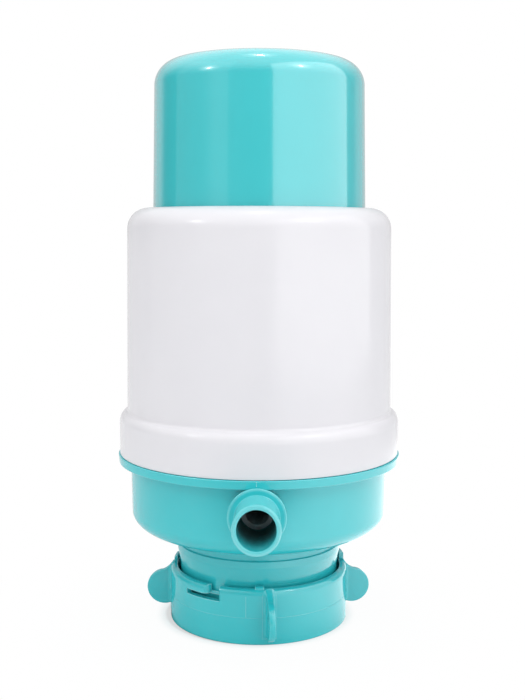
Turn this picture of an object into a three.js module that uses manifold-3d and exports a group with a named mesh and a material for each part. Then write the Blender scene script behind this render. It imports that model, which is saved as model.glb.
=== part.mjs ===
// A hand pump for a large water jug, in millimetres, with +Z up.
// Pushing the cap squeezes a bellows. Its air goes down into the jug and drives the water up
// the riser and out of the socket in front, which takes a spout. A turning collar with four
// ears locks the pump on the jug's neck. The pump's own axis is vertical, and its front is -Y.
import * as THREE from "three";
import { mergeVertices } from "three/addons/utils/BufferGeometryUtils.js";
import Module from "manifold-3d";

const wasm = await Module();
wasm.setup();

// Facet counts
const bodyFacets = 40;
const innerFacets = 24;
const smallFacets = 16;
const holeFacets = 10;
const cornerSteps = 4;

// Clearances that several pieces share
const seatGap = 0.1;
const runningGap = 0.35;
const overrun = 1;
const weldDistance = 0.0005;

// The jug
const jugNeckRadius = 27.5;
const jugClearance = 0.9;

// Locking collar
const collarOverNeck = 4.1;
const collarHeight = 21.5;
const collarWall = 2.2;
const collarFootRound = 0.9;
const collarLipHeight = 1.6;
const rimDepth = 3.1;
const rimRound = 2.6;
const rimGap = 0.9;
const slotHeight = 1.9;
const slotStart = 25.2;
const slotSweep = 25.8;
const slotGapSweep = 10;
const slotCount = 2;
const earRadius = 7.1;
const earOverhang = 9.5;
const earThickness = 2.4;
const earEdge = 0.5;
const earAngles = [-90, 7, 96, 187];
const nubAngle = 1;
const nubWidth = 3.2;
const nubDepth = 1.4;
const nubRise = 1.2;
const camCount = 4;
const camSweep = 24;
const camRise = 0.7;
const camMargin = 1.4;

// Clamp ring, between the collar's lip and the neck
const clampWall = 1.7;
const clampSplitAngle = 135;
const clampSplitSweep = 8;
const clampPadStart = 26;
const clampPadSweep = 20;
const clawCount = 4;
const clawSweep = 30;
const clawHeight = 3;
const clawRise = 3.2;
const clawGap = 0.4;
const keyAngle = 90;
const keySweep = 8;
const keyHeight = 1.8;
const keyPlay = 0.9;

// Neck of the base
const neckOverJug = 4.4;
const neckWall = 2.7;
const neckExposed = 15;
const neckEngagement = 7;
const neckFootChamfer = 0.6;
const neckBandStep = 1.2;
const neckBandDrop = 4.9;
const neckBandHeight = 2.8;
const neckTaperHeight = 3.3;
const neckRootStep = 0.5;
const lugSweep = 8.4;
const lugReach = 2.9;
const lugLift = 0.25;

// Bowl of the base
const bowlRimRadius = 51.55;
const bowlDraft = 0.35;
const bowlCornerDrop = 8.5;
const bowlWall = 2.2;
const flangeOverhang = 4.9;
const flangeThickness = 2.9;
const flangeEdge = 0.4;
const ledgeDrop = 3;
const ledgeWidth = 1.4;
const spigotHeight = 6;
const spigotWall = 2.4;
const snapBead = 0.3;
const snapBeadHeight = 1.2;

// Shelf in the neck, the seal under it, and the riser flange on it
const gasketSeatDrop = 9.5;
const shelfThickness = 2.2;
const shelfWidth = 5;
const gasketThickness = 2.9;
const riserFlangeThickness = 2;
const riserVentRadius = 4;
const riserVentInset = 8.7;
const riserVentCount = 6;
const riserRadius = 6.2;
const riserBore = 4.5;
const nippleLength = 12.3;
const nippleTipRadius = 5.3;
const nippleBarb = 0.4;
const nippleBarbCount = 3;

// Outlet socket, with its washer and nut inside the bowl
const outletLift = 9;
const outletRoom = 0.7;
const outletLength = 18.45;
const socketRadius = 8.2;
const socketLipRadius = 8.6;
const socketLipLength = 1.6;
const socketBore = 7;
const socketBoreDepth = 22.5;
const socketWeb = 2;
const socketFlangeRadius = 10.8;
const socketFlangeThickness = 2;
const socketFlangeEdge = 0.5;
const socketTailRadius = 8;
const socketTailPastNut = 1.3;
const wallHoleGap = 0.3;
const padDepth = 4.6;
const padRadius = 12.4;
const washerThickness = 1.5;
const washerWidth = 3;
const nutThickness = 4;
const nutWall = 2.9;
const nutSides = 6;

// Valve plate, its seal and its screws
const plateSealThickness = 0.9;
const plateThickness = 2.5;
const plateWallRoom = 2.4;
const plateWallHeight = 4.9;
const plateWallThickness = 1.8;
const screwInset = 7.35;
const screwCount = 4;
const screwAngle = 45;
const screwHeadRadius = 2.9;
const screwHeadHeight = 2;
const screwRadius = 1.4;
const screwLength = 10;
const screwDriveDepth = 1.2;
const screwDriveWidth = 0.8;
const screwDriveSpan = 3.4;
const bossRadius = 3.8;
const bossDepth = 12;

// Air valves: a loose rubber disc in a cage under a ring of holes
const valveHoleRadius = 1.2;
const valveHoleCircle = 3.8;
const valveHoleCount = 6;
const valveDiscRadius = 6.5;
const valveDiscThickness = 1.4;
const valveLift = 1.2;
const valveWallThickness = 1.6;
const valveCageThickness = 1.2;
const valveCageLip = 0.6;
const valveVentRadius = 1.6;
const valveVentCircle = 4.4;
const valveVentCount = 4;
const deliveryValveInset = 27.45;

// Bellows, its retaining ring and its return spring
const bellowsRoom = 3.2;
const bellowsDepth = 7.4;
const bellowsWall = 1.1;
const bellowsFolds = 7;
const bellowsLipWidth = 8.4;
const bellowsLipThickness = 2;
const bellowsCuffHeight = 3.4;
const retainerThickness = 2.4;
const springRadius = 14.6;
const springWireRadius = 1;
const springTurns = 9;
const springStepsPerTurn = 12;
const springWireSides = 6;
const springSeatHeight = 2.4;
const springSeatWall = 1.6;

// Outer casing
const casingHeight = 97;
const casingDraft = 0.7;
const casingWall = 2.2;
const casingRound = 8;
const casingInnerRound = 4.4;
const casingMouthRound = 0.5;
const skirtInset = 0.6;
const skirtStep = 3.1;
const skirtHeight = 12.7;
const skirtShoulder = 4.3;
const ribCount = 4;
const ribWidth = 2;
const ribGap = 0.4;
const ribLength = 68;

// Press cap and the plate that it pushes
const capExposed = 59.1;
const capStroke = 48;
const capInset = 10.1;
const capDraft = 0.75;
const capWall = 2;
const capCrown = 2.5;
const capRound = 10;
const capFlangeWidth = 3.25;
const capFlangeThickness = 3.4;
const pusherInset = 2.4;
const pusherWall = 1.8;
const pusherNotchWidth = 8;
const pusherNotchDepth = 2.4;
const topPlateInset = 2.6;
const topPlateThickness = 2.4;
const topPlateDrop = 8.6;

// Heights that the sizes above add up to
const bowlFloorZ = collarHeight + neckExposed;
const outletZ = bowlFloorZ + bowlCornerDrop + outletLift;
const flangeFootZ = outletZ + socketFlangeRadius + outletRoom;
const flangeTopZ = flangeFootZ + flangeThickness;
const casingTopZ = flangeTopZ + casingHeight;
const capTopZ = casingTopZ + capExposed;
const neckFootZ = collarHeight - neckEngagement;
const gasketSeatZ = bowlFloorZ - gasketSeatDrop;
const shelfTopZ = gasketSeatZ + shelfThickness;
const ledgeZ = flangeTopZ - ledgeDrop;
const plateFootZ = ledgeZ + plateSealThickness + 2 * seatGap;
const plateTopZ = plateFootZ + plateThickness;
const topPlateTopZ = capTopZ - topPlateDrop;
const topPlateFootZ = topPlateTopZ - topPlateThickness;
const casingCeilingZ = casingTopZ - casingWall;
const capFlangeTopZ = casingCeilingZ - seatGap;
const capFootZ = capFlangeTopZ - capFlangeThickness;

// Radii that the sizes above add up to
const neckRadius = jugNeckRadius + neckOverJug;
const neckBore = neckRadius - neckWall;
const neckBandRadius = neckRadius + neckBandStep;
const neckRootRadius = neckRadius + neckRootStep;
const shelfBore = neckBore - shelfWidth;
const riserVentCircle = shelfBore - riserVentInset;
const collarRadius = neckRadius + collarOverNeck;
const earReach = collarRadius + earOverhang;
const bowlFootRadius = bowlRimRadius - bowlDraft;
const flangeRadius = bowlRimRadius + flangeOverhang;
const skirtRadius = flangeRadius - skirtInset;
const casingFootRadius = skirtRadius - skirtStep;
const casingTopRadius = casingFootRadius - casingDraft;
const capFootRadius = casingTopRadius - capInset;
const capTopRadius = capFootRadius - capDraft;
const capFlangeRadius = capFootRadius + capFlangeWidth;
const bellowsOuterRadius = capTopRadius - capWall - bellowsRoom;
const bellowsInnerRadius = bellowsOuterRadius - bellowsDepth;
const topPlateRadius = bellowsOuterRadius - topPlateInset;
const pusherRadius = topPlateRadius - pusherInset;
const plateWallRadius = bellowsOuterRadius + plateWallRoom;
const screwCircle = bowlRimRadius - screwInset;
const deliveryValveBack = bowlRimRadius - bowlWall - deliveryValveInset;
const collarBore = collarRadius - collarWall;
const rimBore = neckRadius + rimGap;
const outletReach = bowlRimRadius + outletLength;
const ledgeRadius = bowlRimRadius - bowlWall + ledgeWidth;
const spigotRadius = ledgeRadius + spigotWall;
const boltedFaceY = bowlRimRadius - padDepth;
const slotFootZ = collarHeight - rimDepth - slotHeight;
const valveChamberRadius = valveDiscRadius + runningGap;
const valveWallRadius = valveChamberRadius + valveWallThickness;
const valveWallHeight = valveLift + valveDiscThickness + 2 * seatGap + valveCageThickness;

// Materials
const tealPlastic = new THREE.MeshStandardMaterial({ color: 0x4fc3c9, roughness: 0.22, metalness: 0 });
const whitePlastic = new THREE.MeshStandardMaterial({ color: 0xeeeef2, roughness: 0.25, metalness: 0 });
const innerPlastic = new THREE.MeshStandardMaterial({ color: 0xdfe3e4, roughness: 0.4, metalness: 0 });
const paleRubber = new THREE.MeshStandardMaterial({ color: 0xb9c3c6, roughness: 0.7, metalness: 0 });
const darkRubber = new THREE.MeshStandardMaterial({ color: 0x3a3f42, roughness: 0.75, metalness: 0 });
const steel = new THREE.MeshStandardMaterial({ color: 0xb4b8bc, roughness: 0.3, metalness: 1 });

const radians = THREE.MathUtils.degToRad;

// A closed geometry as a solid that can be cut and joined.
function solidOf(geometry) {
  const bare = new THREE.BufferGeometry();
  bare.setAttribute("position", geometry.getAttribute("position"));
  bare.setIndex(geometry.getIndex());
  const welded = mergeVertices(bare, weldDistance);
  return new wasm.Manifold(
    new wasm.Mesh({
      numProp: 3,
      vertProperties: welded.getAttribute("position").array,
      triVerts: new Uint32Array(welded.getIndex().array),
    }),
  );
}

// A solid as a named mesh.
function meshOf(name, solid, material) {
  const { numProp, numVert, vertProperties, triVerts } = solid.getMesh();
  const points = new Float32Array(numVert * 3);
  for (let i = 0; i < numVert; i += 1) {
    points.set(vertProperties.subarray(i * numProp, i * numProp + 3), i * 3);
  }
  const geometry = new THREE.BufferGeometry();
  geometry.setAttribute("position", new THREE.BufferAttribute(points, 3));
  geometry.setIndex(new THREE.BufferAttribute(triVerts, 1));
  geometry.computeVertexNormals();
  const mesh = new THREE.Mesh(geometry, material);
  mesh.name = name;
  return mesh;
}

// A closed outline of [radius, height] points turned round a lathe's vertical axis.
function lathe(outline, facets) {
  const points = outline.map(([radius, height]) => new THREE.Vector2(radius, height));
  if (THREE.ShapeUtils.area(points) < 0) points.reverse();
  return new THREE.LatheGeometry([...points, points[0]], facets);
}

// The same outline round the pump's axis.
function turned(outline, facets = bodyFacets) {
  return solidOf(lathe(outline, facets).rotateX(Math.PI / 2));
}

// The same outline round the outlet's axis: heights run from the pump's axis to the front.
function turnedToFront(outline, facets = smallFacets) {
  return solidOf(lathe(outline, facets).rotateX(Math.PI)).translate([0, 0, outletZ]);
}

// A plain rod on the outlet's axis.
function frontRod(radius, back, front, facets = innerFacets) {
  return turnedToFront([[0, back], [radius, back], [radius, front], [0, front]], facets);
}

// Points of a quarter or any other part of an ellipse, in degrees from the outward direction.
function corner(radius, height, run, rise, from, to, steps = cornerSteps) {
  return Array.from({ length: steps + 1 }, (_, i) => {
    const angle = radians(from + ((to - from) * i) / steps);
    return [radius + run * Math.cos(angle), height + rise * Math.sin(angle)];
  });
}

// A plain disc or rod on the pump's axis.
function rod(radius, foot, top, facets = smallFacets) {
  return turned([[0, foot], [radius, foot], [radius, top], [0, top]], facets);
}

// A ring on the pump's axis.
function ring(inner, outer, foot, top, facets = innerFacets) {
  return turned([[inner, foot], [outer, foot], [outer, top], [inner, top]], facets);
}

// An arched block between two radii and two bearings. Bearings count in degrees from the front.
function archBlock(inner, outer, from, to, foot, top) {
  const start = radians(from) - Math.PI / 2;
  const end = radians(to) - Math.PI / 2;
  const outline = new THREE.Shape();
  outline.absarc(0, 0, outer, start, end, false);
  outline.absarc(0, 0, inner, end, start, true);
  outline.closePath();
  const curveSegments = Math.max(2, Math.ceil((to - from) / (360 / bodyFacets)));
  const geometry = new THREE.ExtrudeGeometry(outline, {
    depth: top - foot,
    bevelEnabled: false,
    curveSegments,
  });
  return solidOf(geometry.translate(0, 0, foot));
}

// Copies of a solid at even bearings round the pump's axis.
function around(solid, count) {
  const copies = Array.from({ length: count }, (_, i) => solid.rotate([0, 0, (360 * i) / count]));
  return copies.reduce((all, copy) => all.add(copy));
}

// A ring of round holes through a plate, as rods to cut with.
function holes(count, circle, radius, foot, top) {
  return around(rod(radius, foot - overrun, top + overrun, holeFacets).translate([0, -circle, 0]), count);
}

// Locking collar: the outer ring with its lip, ears, latch slots, cams and index nub.
function lockingCollar() {
  const middle = collarHeight / 2;
  const shoulder = corner(collarRadius - rimRound, collarHeight - rimRound, rimRound, rimRound, 0, 90);
  const footRound = collarFootRound;
  const foot = corner(collarRadius - footRound, footRound, footRound, footRound, -90, 0, 2);
  const skin = turned([[0, 0], ...foot, ...shoulder, [0, collarHeight]]);
  const disc = solidOf(
    lathe([
      [0, -earThickness / 2],
      [earRadius - earEdge, -earThickness / 2],
      [earRadius, -earThickness / 2 + earEdge],
      [earRadius, earThickness / 2 - earEdge],
      [earRadius - earEdge, earThickness / 2],
      [0, earThickness / 2],
    ], smallFacets + 4).rotateZ(Math.PI / 2),
  ).translate([0, earRadius - earReach, middle]);
  const ears = earAngles.map((angle) => disc.rotate([0, 0, angle]));
  const hollow = turned([
    [0, -overrun],
    [jugNeckRadius + jugClearance, -overrun],
    [jugNeckRadius + jugClearance, collarLipHeight],
    [collarBore, collarLipHeight],
    [collarBore, collarHeight - rimDepth],
    [rimBore, collarHeight - rimDepth],
    [rimBore, collarHeight + overrun],
    [0, collarHeight + overrun],
  ]);
  const gap = archBlock(neckRadius, collarRadius + overrun, -slotStart - slotGapSweep, -slotStart,
    slotFootZ, collarHeight + overrun);
  const slot = archBlock(neckRadius, collarRadius + overrun, -slotStart - slotSweep, -slotStart,
    slotFootZ, slotFootZ + slotHeight);
  const camFoot = collarLipHeight + camMargin;
  const cam = archBlock(collarBore - camRise, collarBore + collarWall / 2, 0, camSweep,
    camFoot, neckFootZ - camMargin);
  const nubHeight = rimDepth + nubRise;
  const nubY = -neckRadius - runningGap - nubDepth / 2;
  const nub = solidOf(new THREE.BoxGeometry(nubWidth, nubDepth, nubHeight))
    .translate([0, nubY, collarHeight + nubRise - nubHeight / 2])
    .rotate([0, 0, nubAngle]);
  return ears
    .reduce((all, ear) => all.add(ear), skin)
    .subtract(hollow)
    .subtract(around(gap.add(slot), slotCount))
    .add(around(cam, camCount))
    .add(nub);
}

// Clamp ring: a split band inside the collar. Its pads meet the collar's cams, its claws hold
// the jug's neck, and its keys in the neck keep it from turning.
function clampRing() {
  const foot = collarLipHeight + runningGap;
  const top = neckFootZ - runningGap;
  const bandInner = jugNeckRadius + jugClearance + 2 * runningGap;
  const bandOuter = bandInner + clampWall;
  const padOuter = collarBore - camRise - runningGap;
  const band = ring(bandInner, bandOuter, foot, top, bodyFacets);
  const pad = archBlock(bandOuter - clampWall / 2, padOuter, clampPadStart, clampPadStart + clampPadSweep,
    foot + camMargin, top - camMargin);
  const claw = archBlock(jugNeckRadius + clawGap, bandOuter - clampWall / 2, -clawSweep / 2, clawSweep / 2,
    foot + clawRise, foot + clawRise + clawHeight);
  const split = archBlock(bandInner - overrun, padOuter + overrun, clampSplitAngle - clampSplitSweep / 2,
    clampSplitAngle + clampSplitSweep / 2, foot - overrun, top + overrun);
  const key = archBlock(neckBore + 2 * seatGap, bandOuter, -keySweep / 2, keySweep / 2, top - keyHeight / 2,
    neckFootZ + keyHeight).rotate([0, 0, keyAngle]);
  return band
    .add(around(pad, camCount))
    .add(around(claw, clawCount))
    .add(around(key, slotCount))
    .subtract(split);
}

// Base: neck, bowl, flange and casing spigot in one moulding.
function baseBowl() {
  const bandTop = bowlFloorZ - neckBandDrop;
  const bandFoot = bandTop - neckBandHeight;
  const cornerRun = bowlFootRadius - neckRootRadius;
  const cornerTop = bowlFloorZ + bowlCornerDrop;
  const spigotTop = flangeTopZ + spigotHeight;
  const beadZ = flangeTopZ + spigotHeight / 2;
  const innerFoot = bowlFootRadius - bowlWall;
  const innerRim = bowlRimRadius - bowlWall;
  const innerCorner = neckRootRadius + bowlWall / 2;
  const shell = turned([
    [neckBore, neckFootZ],
    [neckRadius - neckFootChamfer, neckFootZ],
    [neckRadius, neckFootZ + neckFootChamfer],
    [neckRadius, bandFoot - neckTaperHeight],
    [neckBandRadius, bandFoot],
    [neckBandRadius, bandTop],
    [neckRootRadius, bandTop + neckBandRadius - neckRootRadius],
    ...corner(neckRootRadius, cornerTop, cornerRun, bowlCornerDrop, -90, 0, cornerSteps + 1),
    [bowlRimRadius, flangeFootZ],
    [flangeRadius - flangeEdge, flangeFootZ],
    [flangeRadius, flangeFootZ + flangeEdge],
    [flangeRadius, flangeTopZ],
    [spigotRadius, flangeTopZ],
    [spigotRadius, beadZ - snapBeadHeight / 2],
    [spigotRadius + snapBead, beadZ],
    [spigotRadius, beadZ + snapBeadHeight / 2],
    [spigotRadius, spigotTop],
    [ledgeRadius, spigotTop],
    [ledgeRadius, ledgeZ],
    [innerRim, ledgeZ],
    ...corner(innerCorner, cornerTop, innerFoot - innerCorner, bowlCornerDrop - bowlWall, 0, -90),
    [neckBandRadius - bowlWall, bowlFloorZ],
    [neckBandRadius - bowlWall, shelfTopZ],
    [shelfBore, shelfTopZ],
    [shelfBore, gasketSeatZ],
    [neckBore, gasketSeatZ],
  ]);
  const lugFoot = slotFootZ + lugLift;
  const lug = archBlock(neckRadius - (neckRadius - neckBore) / 2, neckRadius + lugReach,
    -slotStart - (slotGapSweep + lugSweep) / 2, -slotStart - (slotGapSweep - lugSweep) / 2,
    lugFoot, slotFootZ + slotHeight - lugLift);
  const keywayHalf = keySweep / 2 + keyPlay;
  const keyway = archBlock(neckBore - overrun, neckRadius + overrun, -keywayHalf, keywayHalf,
    neckFootZ - overrun, neckFootZ + keyHeight + runningGap).rotate([0, 0, keyAngle]);
  const pad = frontRod(padRadius, boltedFaceY, bowlFootRadius - seatGap, smallFacets + 4);
  const bowlSolid = rod(bowlFootRadius - bowlWall / 2, bowlFloorZ, ledgeZ - seatGap, bodyFacets);
  const wallHole = frontRod(socketTailRadius + wallHoleGap, boltedFaceY - overrun, bowlRimRadius + overrun);
  const boss = rod(bossRadius, ledgeZ - bossDepth, plateFootZ - seatGap, holeFacets)
    .add(solidOf(new THREE.BoxGeometry(bossRadius, bowlFootRadius - bowlWall / 2 - screwCircle, bossDepth))
      .translate([0, (screwCircle - bowlFootRadius + bowlWall / 2) / 2, ledgeZ - bossDepth / 2]))
    .subtract(rod(screwRadius + seatGap, plateFootZ - screwLength, plateFootZ + overrun, holeFacets))
    .translate([0, -screwCircle, 0])
    .rotate([0, 0, screwAngle]);
  return shell
    .add(pad.intersect(bowlSolid))
    .add(around(boss, screwCount))
    .add(around(lug, slotCount))
    .subtract(around(keyway, slotCount))
    .subtract(wallHole);
}

// Neck gasket: the jug's rim seals against it.
function neckGasket() {
  const top = gasketSeatZ - seatGap;
  return ring(shelfBore + 2 * seatGap, neckBore - 2 * seatGap, top - gasketThickness, top);
}

// Riser: the nipple for the suction tube, the vented flange and the elbow to the outlet.
function riser() {
  const flangeFoot = shelfTopZ + seatGap;
  const flangeTop = flangeFoot + riserFlangeThickness;
  const nippleFoot = flangeFoot - nippleLength;
  const tailEnd = boltedFaceY - washerThickness - nutThickness - 3 * seatGap - socketTailPastNut;
  const webFaceY = outletReach - socketBoreDepth - socketWeb;
  const barbPitch = nippleLength / (nippleBarbCount + 1);
  const barbs = Array.from({ length: nippleBarbCount }, (_, i) => [
    [nippleTipRadius, nippleFoot + i * barbPitch],
    [nippleTipRadius + nippleBarb, nippleFoot + (i + 1) * barbPitch],
  ]).flat();
  const body = turned([
    [0, nippleFoot],
    ...barbs,
    [nippleTipRadius, nippleFoot + nippleBarbCount * barbPitch],
    [nippleTipRadius, flangeFoot],
    [neckBandRadius - bowlWall - 2 * seatGap, flangeFoot],
    [neckBandRadius - bowlWall - 2 * seatGap, flangeTop],
    [riserRadius, flangeTop],
    ...corner(0, outletZ, riserRadius, riserRadius, 0, 90, 4),
  ], innerFacets);
  const branch = frontRod(riserRadius, 0, webFaceY - seatGap);
  const branchBore = frontRod(riserBore, 0, webFaceY + overrun, smallFacets);
  const boreCap = turned([[0, nippleFoot - overrun], [riserBore, nippleFoot - overrun],
    ...corner(0, outletZ, riserBore, riserBore, 0, 90, 4)]);
  if (tailEnd < 0) throw new Error("the socket's tail reaches past the pump's axis");
  return body
    .add(branch)
    .subtract(boreCap.add(branchBore))
    .subtract(holes(riserVentCount, riserVentCircle, riserVentRadius, flangeFoot, flangeTop));
}

// Outlet socket: it takes the spout, and its tail goes through the bowl to the nut.
function outletSocket() {
  const flangeFace = bowlRimRadius + socketFlangeThickness;
  const lipFoot = outletReach - socketLipLength;
  const webFace = outletReach - socketBoreDepth;
  const tailEnd = boltedFaceY - washerThickness - nutThickness - 3 * seatGap - socketTailPastNut;
  const flangeBack = bowlFootRadius - socketFlangeRadius ** 2 / bowlFootRadius;
  const body = turnedToFront([
    [0, tailEnd],
    [socketTailRadius, tailEnd],
    [socketTailRadius, flangeBack],
    [socketFlangeRadius, flangeBack],
    [socketFlangeRadius, flangeFace - socketFlangeEdge],
    [socketFlangeRadius - socketFlangeEdge, flangeFace],
    [socketRadius, flangeFace],
    [socketRadius, lipFoot - (socketLipRadius - socketRadius)],
    [socketLipRadius, lipFoot],
    [socketLipRadius, outletReach - (socketLipRadius - socketRadius)],
    [socketRadius, outletReach],
    [0, outletReach],
  ], innerFacets);
  const bore = turnedToFront([
    [0, tailEnd - overrun],
    [riserRadius + 2 * seatGap, tailEnd - overrun],
    [riserRadius + 2 * seatGap, webFace - socketWeb],
    [riserBore, webFace - socketWeb],
    [riserBore, webFace],
    [socketBore, webFace],
    [socketBore, outletReach + overrun],
    [0, outletReach + overrun],
  ], innerFacets);
  const tail = frontRod(socketTailRadius, 0, flangeFace);
  const bowlSkin = turned([[0, bowlFloorZ], [bowlFootRadius + 2 * seatGap, bowlFloorZ],
    [bowlFootRadius + 2 * seatGap, bowlFloorZ + bowlCornerDrop], [bowlRimRadius + 2 * seatGap, flangeFootZ],
    [0, flangeFootZ]]);
  return body.subtract(bowlSkin.subtract(tail)).subtract(bore);
}

// Outlet washer: it seals the wall behind the nut.
function outletWasher() {
  const face = boltedFaceY - seatGap;
  const inner = socketTailRadius + seatGap;
  return turnedToFront([[inner, face - washerThickness], [inner + washerWidth, face - washerThickness],
    [inner + washerWidth, face], [inner, face]], innerFacets);
}

// Outlet nut: it draws the socket's flange on to the bowl.
function outletNut() {
  const face = boltedFaceY - washerThickness - 2 * seatGap;
  const nutRadius = socketTailRadius + nutWall;
  const back = face - nutThickness;
  return frontRod(nutRadius, back, face, nutSides)
    .subtract(frontRod(socketTailRadius + seatGap, back - overrun, face + overrun));
}

// Seal between the bowl's ledge and the valve plate.
function plateSeal() {
  return ring(ledgeRadius - ledgeWidth + seatGap, ledgeRadius - 2 * seatGap, ledgeZ + seatGap,
    ledgeZ + seatGap + plateSealThickness, bodyFacets);
}

// The wall under a plate that holds a valve's disc and cage, with a lip that the cage snaps over.
function valveWall(foot) {
  return ring(valveChamberRadius, valveWallRadius, foot - valveWallHeight - valveCageLip, foot, smallFacets)
    .add(ring(valveChamberRadius - valveCageLip / 2, valveWallRadius, foot - valveWallHeight - valveCageLip,
      foot - valveWallHeight, smallFacets));
}

// Valve plate: the floor of the bellows and the lid of the bowl.
function valvePlate() {
  const wallTop = plateTopZ + plateWallHeight;
  const plate = turned([
    [0, plateFootZ],
    [ledgeRadius - 2 * seatGap, plateFootZ],
    [ledgeRadius - 2 * seatGap, plateTopZ],
    [plateWallRadius + plateWallThickness, plateTopZ],
    [plateWallRadius + plateWallThickness, wallTop],
    [plateWallRadius, wallTop],
    [plateWallRadius, plateTopZ],
    [0, plateTopZ],
  ]);
  const springChordRadius = springRadius * Math.cos(Math.PI / springStepsPerTurn);
  const seatOuter = springChordRadius - springWireRadius - runningGap;
  const springSeat = ring(seatOuter - springSeatWall, seatOuter, plateTopZ - plateThickness / 2,
    plateTopZ + springSeatHeight, smallFacets);
  const back = [0, deliveryValveBack, 0];
  return plate
    .add(springSeat)
    .add(valveWall(plateFootZ + seatGap / 2).translate(back))
    .subtract(holes(valveHoleCount, valveHoleCircle, valveHoleRadius, plateFootZ, plateTopZ).translate(back))
    .subtract(holes(screwCount, screwCircle, screwRadius + runningGap, plateFootZ, plateTopZ)
      .rotate([0, 0, screwAngle]));
}

// Self-tapping screw with a pan head, its head's underside at height 0.
function plateScrew() {
  const drive = solidOf(new THREE.BoxGeometry(screwDriveSpan, screwDriveWidth, screwDriveDepth + overrun))
    .translate([0, 0, screwHeadHeight - screwDriveDepth / 2 + overrun / 2]);
  return turned([
    [0, -screwLength + plateThickness],
    [screwRadius, -screwLength + plateThickness + screwRadius],
    [screwRadius, 0],
    [screwHeadRadius, 0],
    [screwHeadRadius, screwHeadHeight / 2],
    [screwHeadRadius - screwHeadHeight / 2, screwHeadHeight],
    [0, screwHeadHeight],
  ], holeFacets).subtract(drive).subtract(drive.rotate([0, 0, 90]));
}

// Valve disc, open, lying on its cage. Height 0 is the valve's seat.
function valveDisc() {
  return rod(valveDiscRadius, -valveLift - valveDiscThickness - seatGap, -valveLift - seatGap);
}

// Valve cage: it holds the disc in its chamber, and the air passes its vents.
function valveCage() {
  const top = -valveLift - valveDiscThickness - 2 * seatGap;
  const foot = top - valveCageThickness + seatGap;
  return rod(valveChamberRadius - seatGap, foot, top)
    .subtract(holes(valveVentCount, valveVentCircle, valveVentRadius, foot, top));
}

// Bellows: a pleated rubber tube between two flat lips.
function bellows() {
  const foot = plateTopZ + seatGap;
  const top = topPlateFootZ - seatGap;
  const pleatFoot = foot + bellowsLipThickness + bellowsCuffHeight;
  const pleatTop = top - bellowsLipThickness - bellowsCuffHeight;
  const pitch = (pleatTop - pleatFoot) / bellowsFolds;
  const outside = Array.from({ length: bellowsFolds }, (_, i) => [
    [bellowsInnerRadius + bellowsWall, pleatFoot + i * pitch],
    [bellowsOuterRadius, pleatFoot + (i + 1 / 2) * pitch],
  ]).flat();
  const inside = outside.map(([radius, height]) => [radius - bellowsWall, height]).reverse();
  const lipInner = bellowsOuterRadius - bellowsLipWidth;
  const topLipOuter = topPlateRadius - seatGap;
  return turned([
    [lipInner, foot],
    [bellowsOuterRadius, foot],
    [bellowsOuterRadius, foot + bellowsLipThickness],
    [bellowsInnerRadius + bellowsWall, foot + bellowsLipThickness],
    ...outside,
    [bellowsInnerRadius + bellowsWall, pleatTop],
    [bellowsInnerRadius + bellowsWall, top - bellowsLipThickness],
    [topLipOuter, top - bellowsLipThickness],
    [topLipOuter, top],
    [lipInner, top],
    [lipInner, top - bellowsLipThickness],
    [bellowsInnerRadius, top - bellowsLipThickness - bellowsWall],
    [bellowsInnerRadius, pleatTop],
    ...inside,
    [bellowsInnerRadius, foot + bellowsLipThickness + bellowsWall],
    [lipInner, foot + bellowsLipThickness],
  ], innerFacets);
}

// Retaining ring: it presses the bellows' lip on to the valve plate.
function bellowsRetainer() {
  const foot = plateTopZ + bellowsLipThickness + 2 * seatGap;
  const inner = bellowsInnerRadius + bellowsWall + runningGap;
  return ring(inner, plateWallRadius - 2 * seatGap, foot, foot + retainerThickness);
}

// The spring's centreline: even turns, with a flat turn at each end.
class SpringLine extends THREE.Curve {
  constructor(foot, top) {
    super();
    this.foot = foot;
    this.top = top;
  }

  getPoint(t, target = new THREE.Vector3()) {
    const angle = 2 * Math.PI * springTurns * t;
    const flatTurnPitch = 3 * springWireRadius;
    const turn = springTurns * t;
    const openTurns = springTurns - 2;
    const openRise = this.top - this.foot - 2 * flatTurnPitch;
    let height = this.foot + flatTurnPitch * Math.min(turn, 1);
    height += (openRise * Math.min(Math.max(turn - 1, 0), openTurns)) / openTurns;
    height += flatTurnPitch * Math.max(turn - 1 - openTurns, 0);
    return target.set(springRadius * Math.cos(angle), springRadius * Math.sin(angle), height);
  }
}

// Return spring between the valve plate and the plate in the cap.
function returnSpring() {
  const endGap = springWireRadius + seatGap;
  const line = new SpringLine(plateTopZ + endGap, topPlateFootZ - endGap);
  const wire = new THREE.Shape(Array.from({ length: springWireSides }, (_, i) => {
    const angle = (2 * Math.PI * i) / springWireSides;
    return new THREE.Vector2(springWireRadius * Math.cos(angle), springWireRadius * Math.sin(angle));
  }));
  const steps = springTurns * springStepsPerTurn;
  const points = line.getPoints(steps);
  let least = Infinity;
  points.forEach((a, i) => points.slice(i + springStepsPerTurn - 2).forEach((b) => {
    least = Math.min(least, a.distanceTo(b) - 2 * springWireRadius);
  }));
  console.log("return_spring least gap between turns: " + least.toFixed(2) + " mm");
  return solidOf(new THREE.ExtrudeGeometry(wire, {
    steps,
    extrudePath: line,
    bevelEnabled: false,
  }));
}

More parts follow.
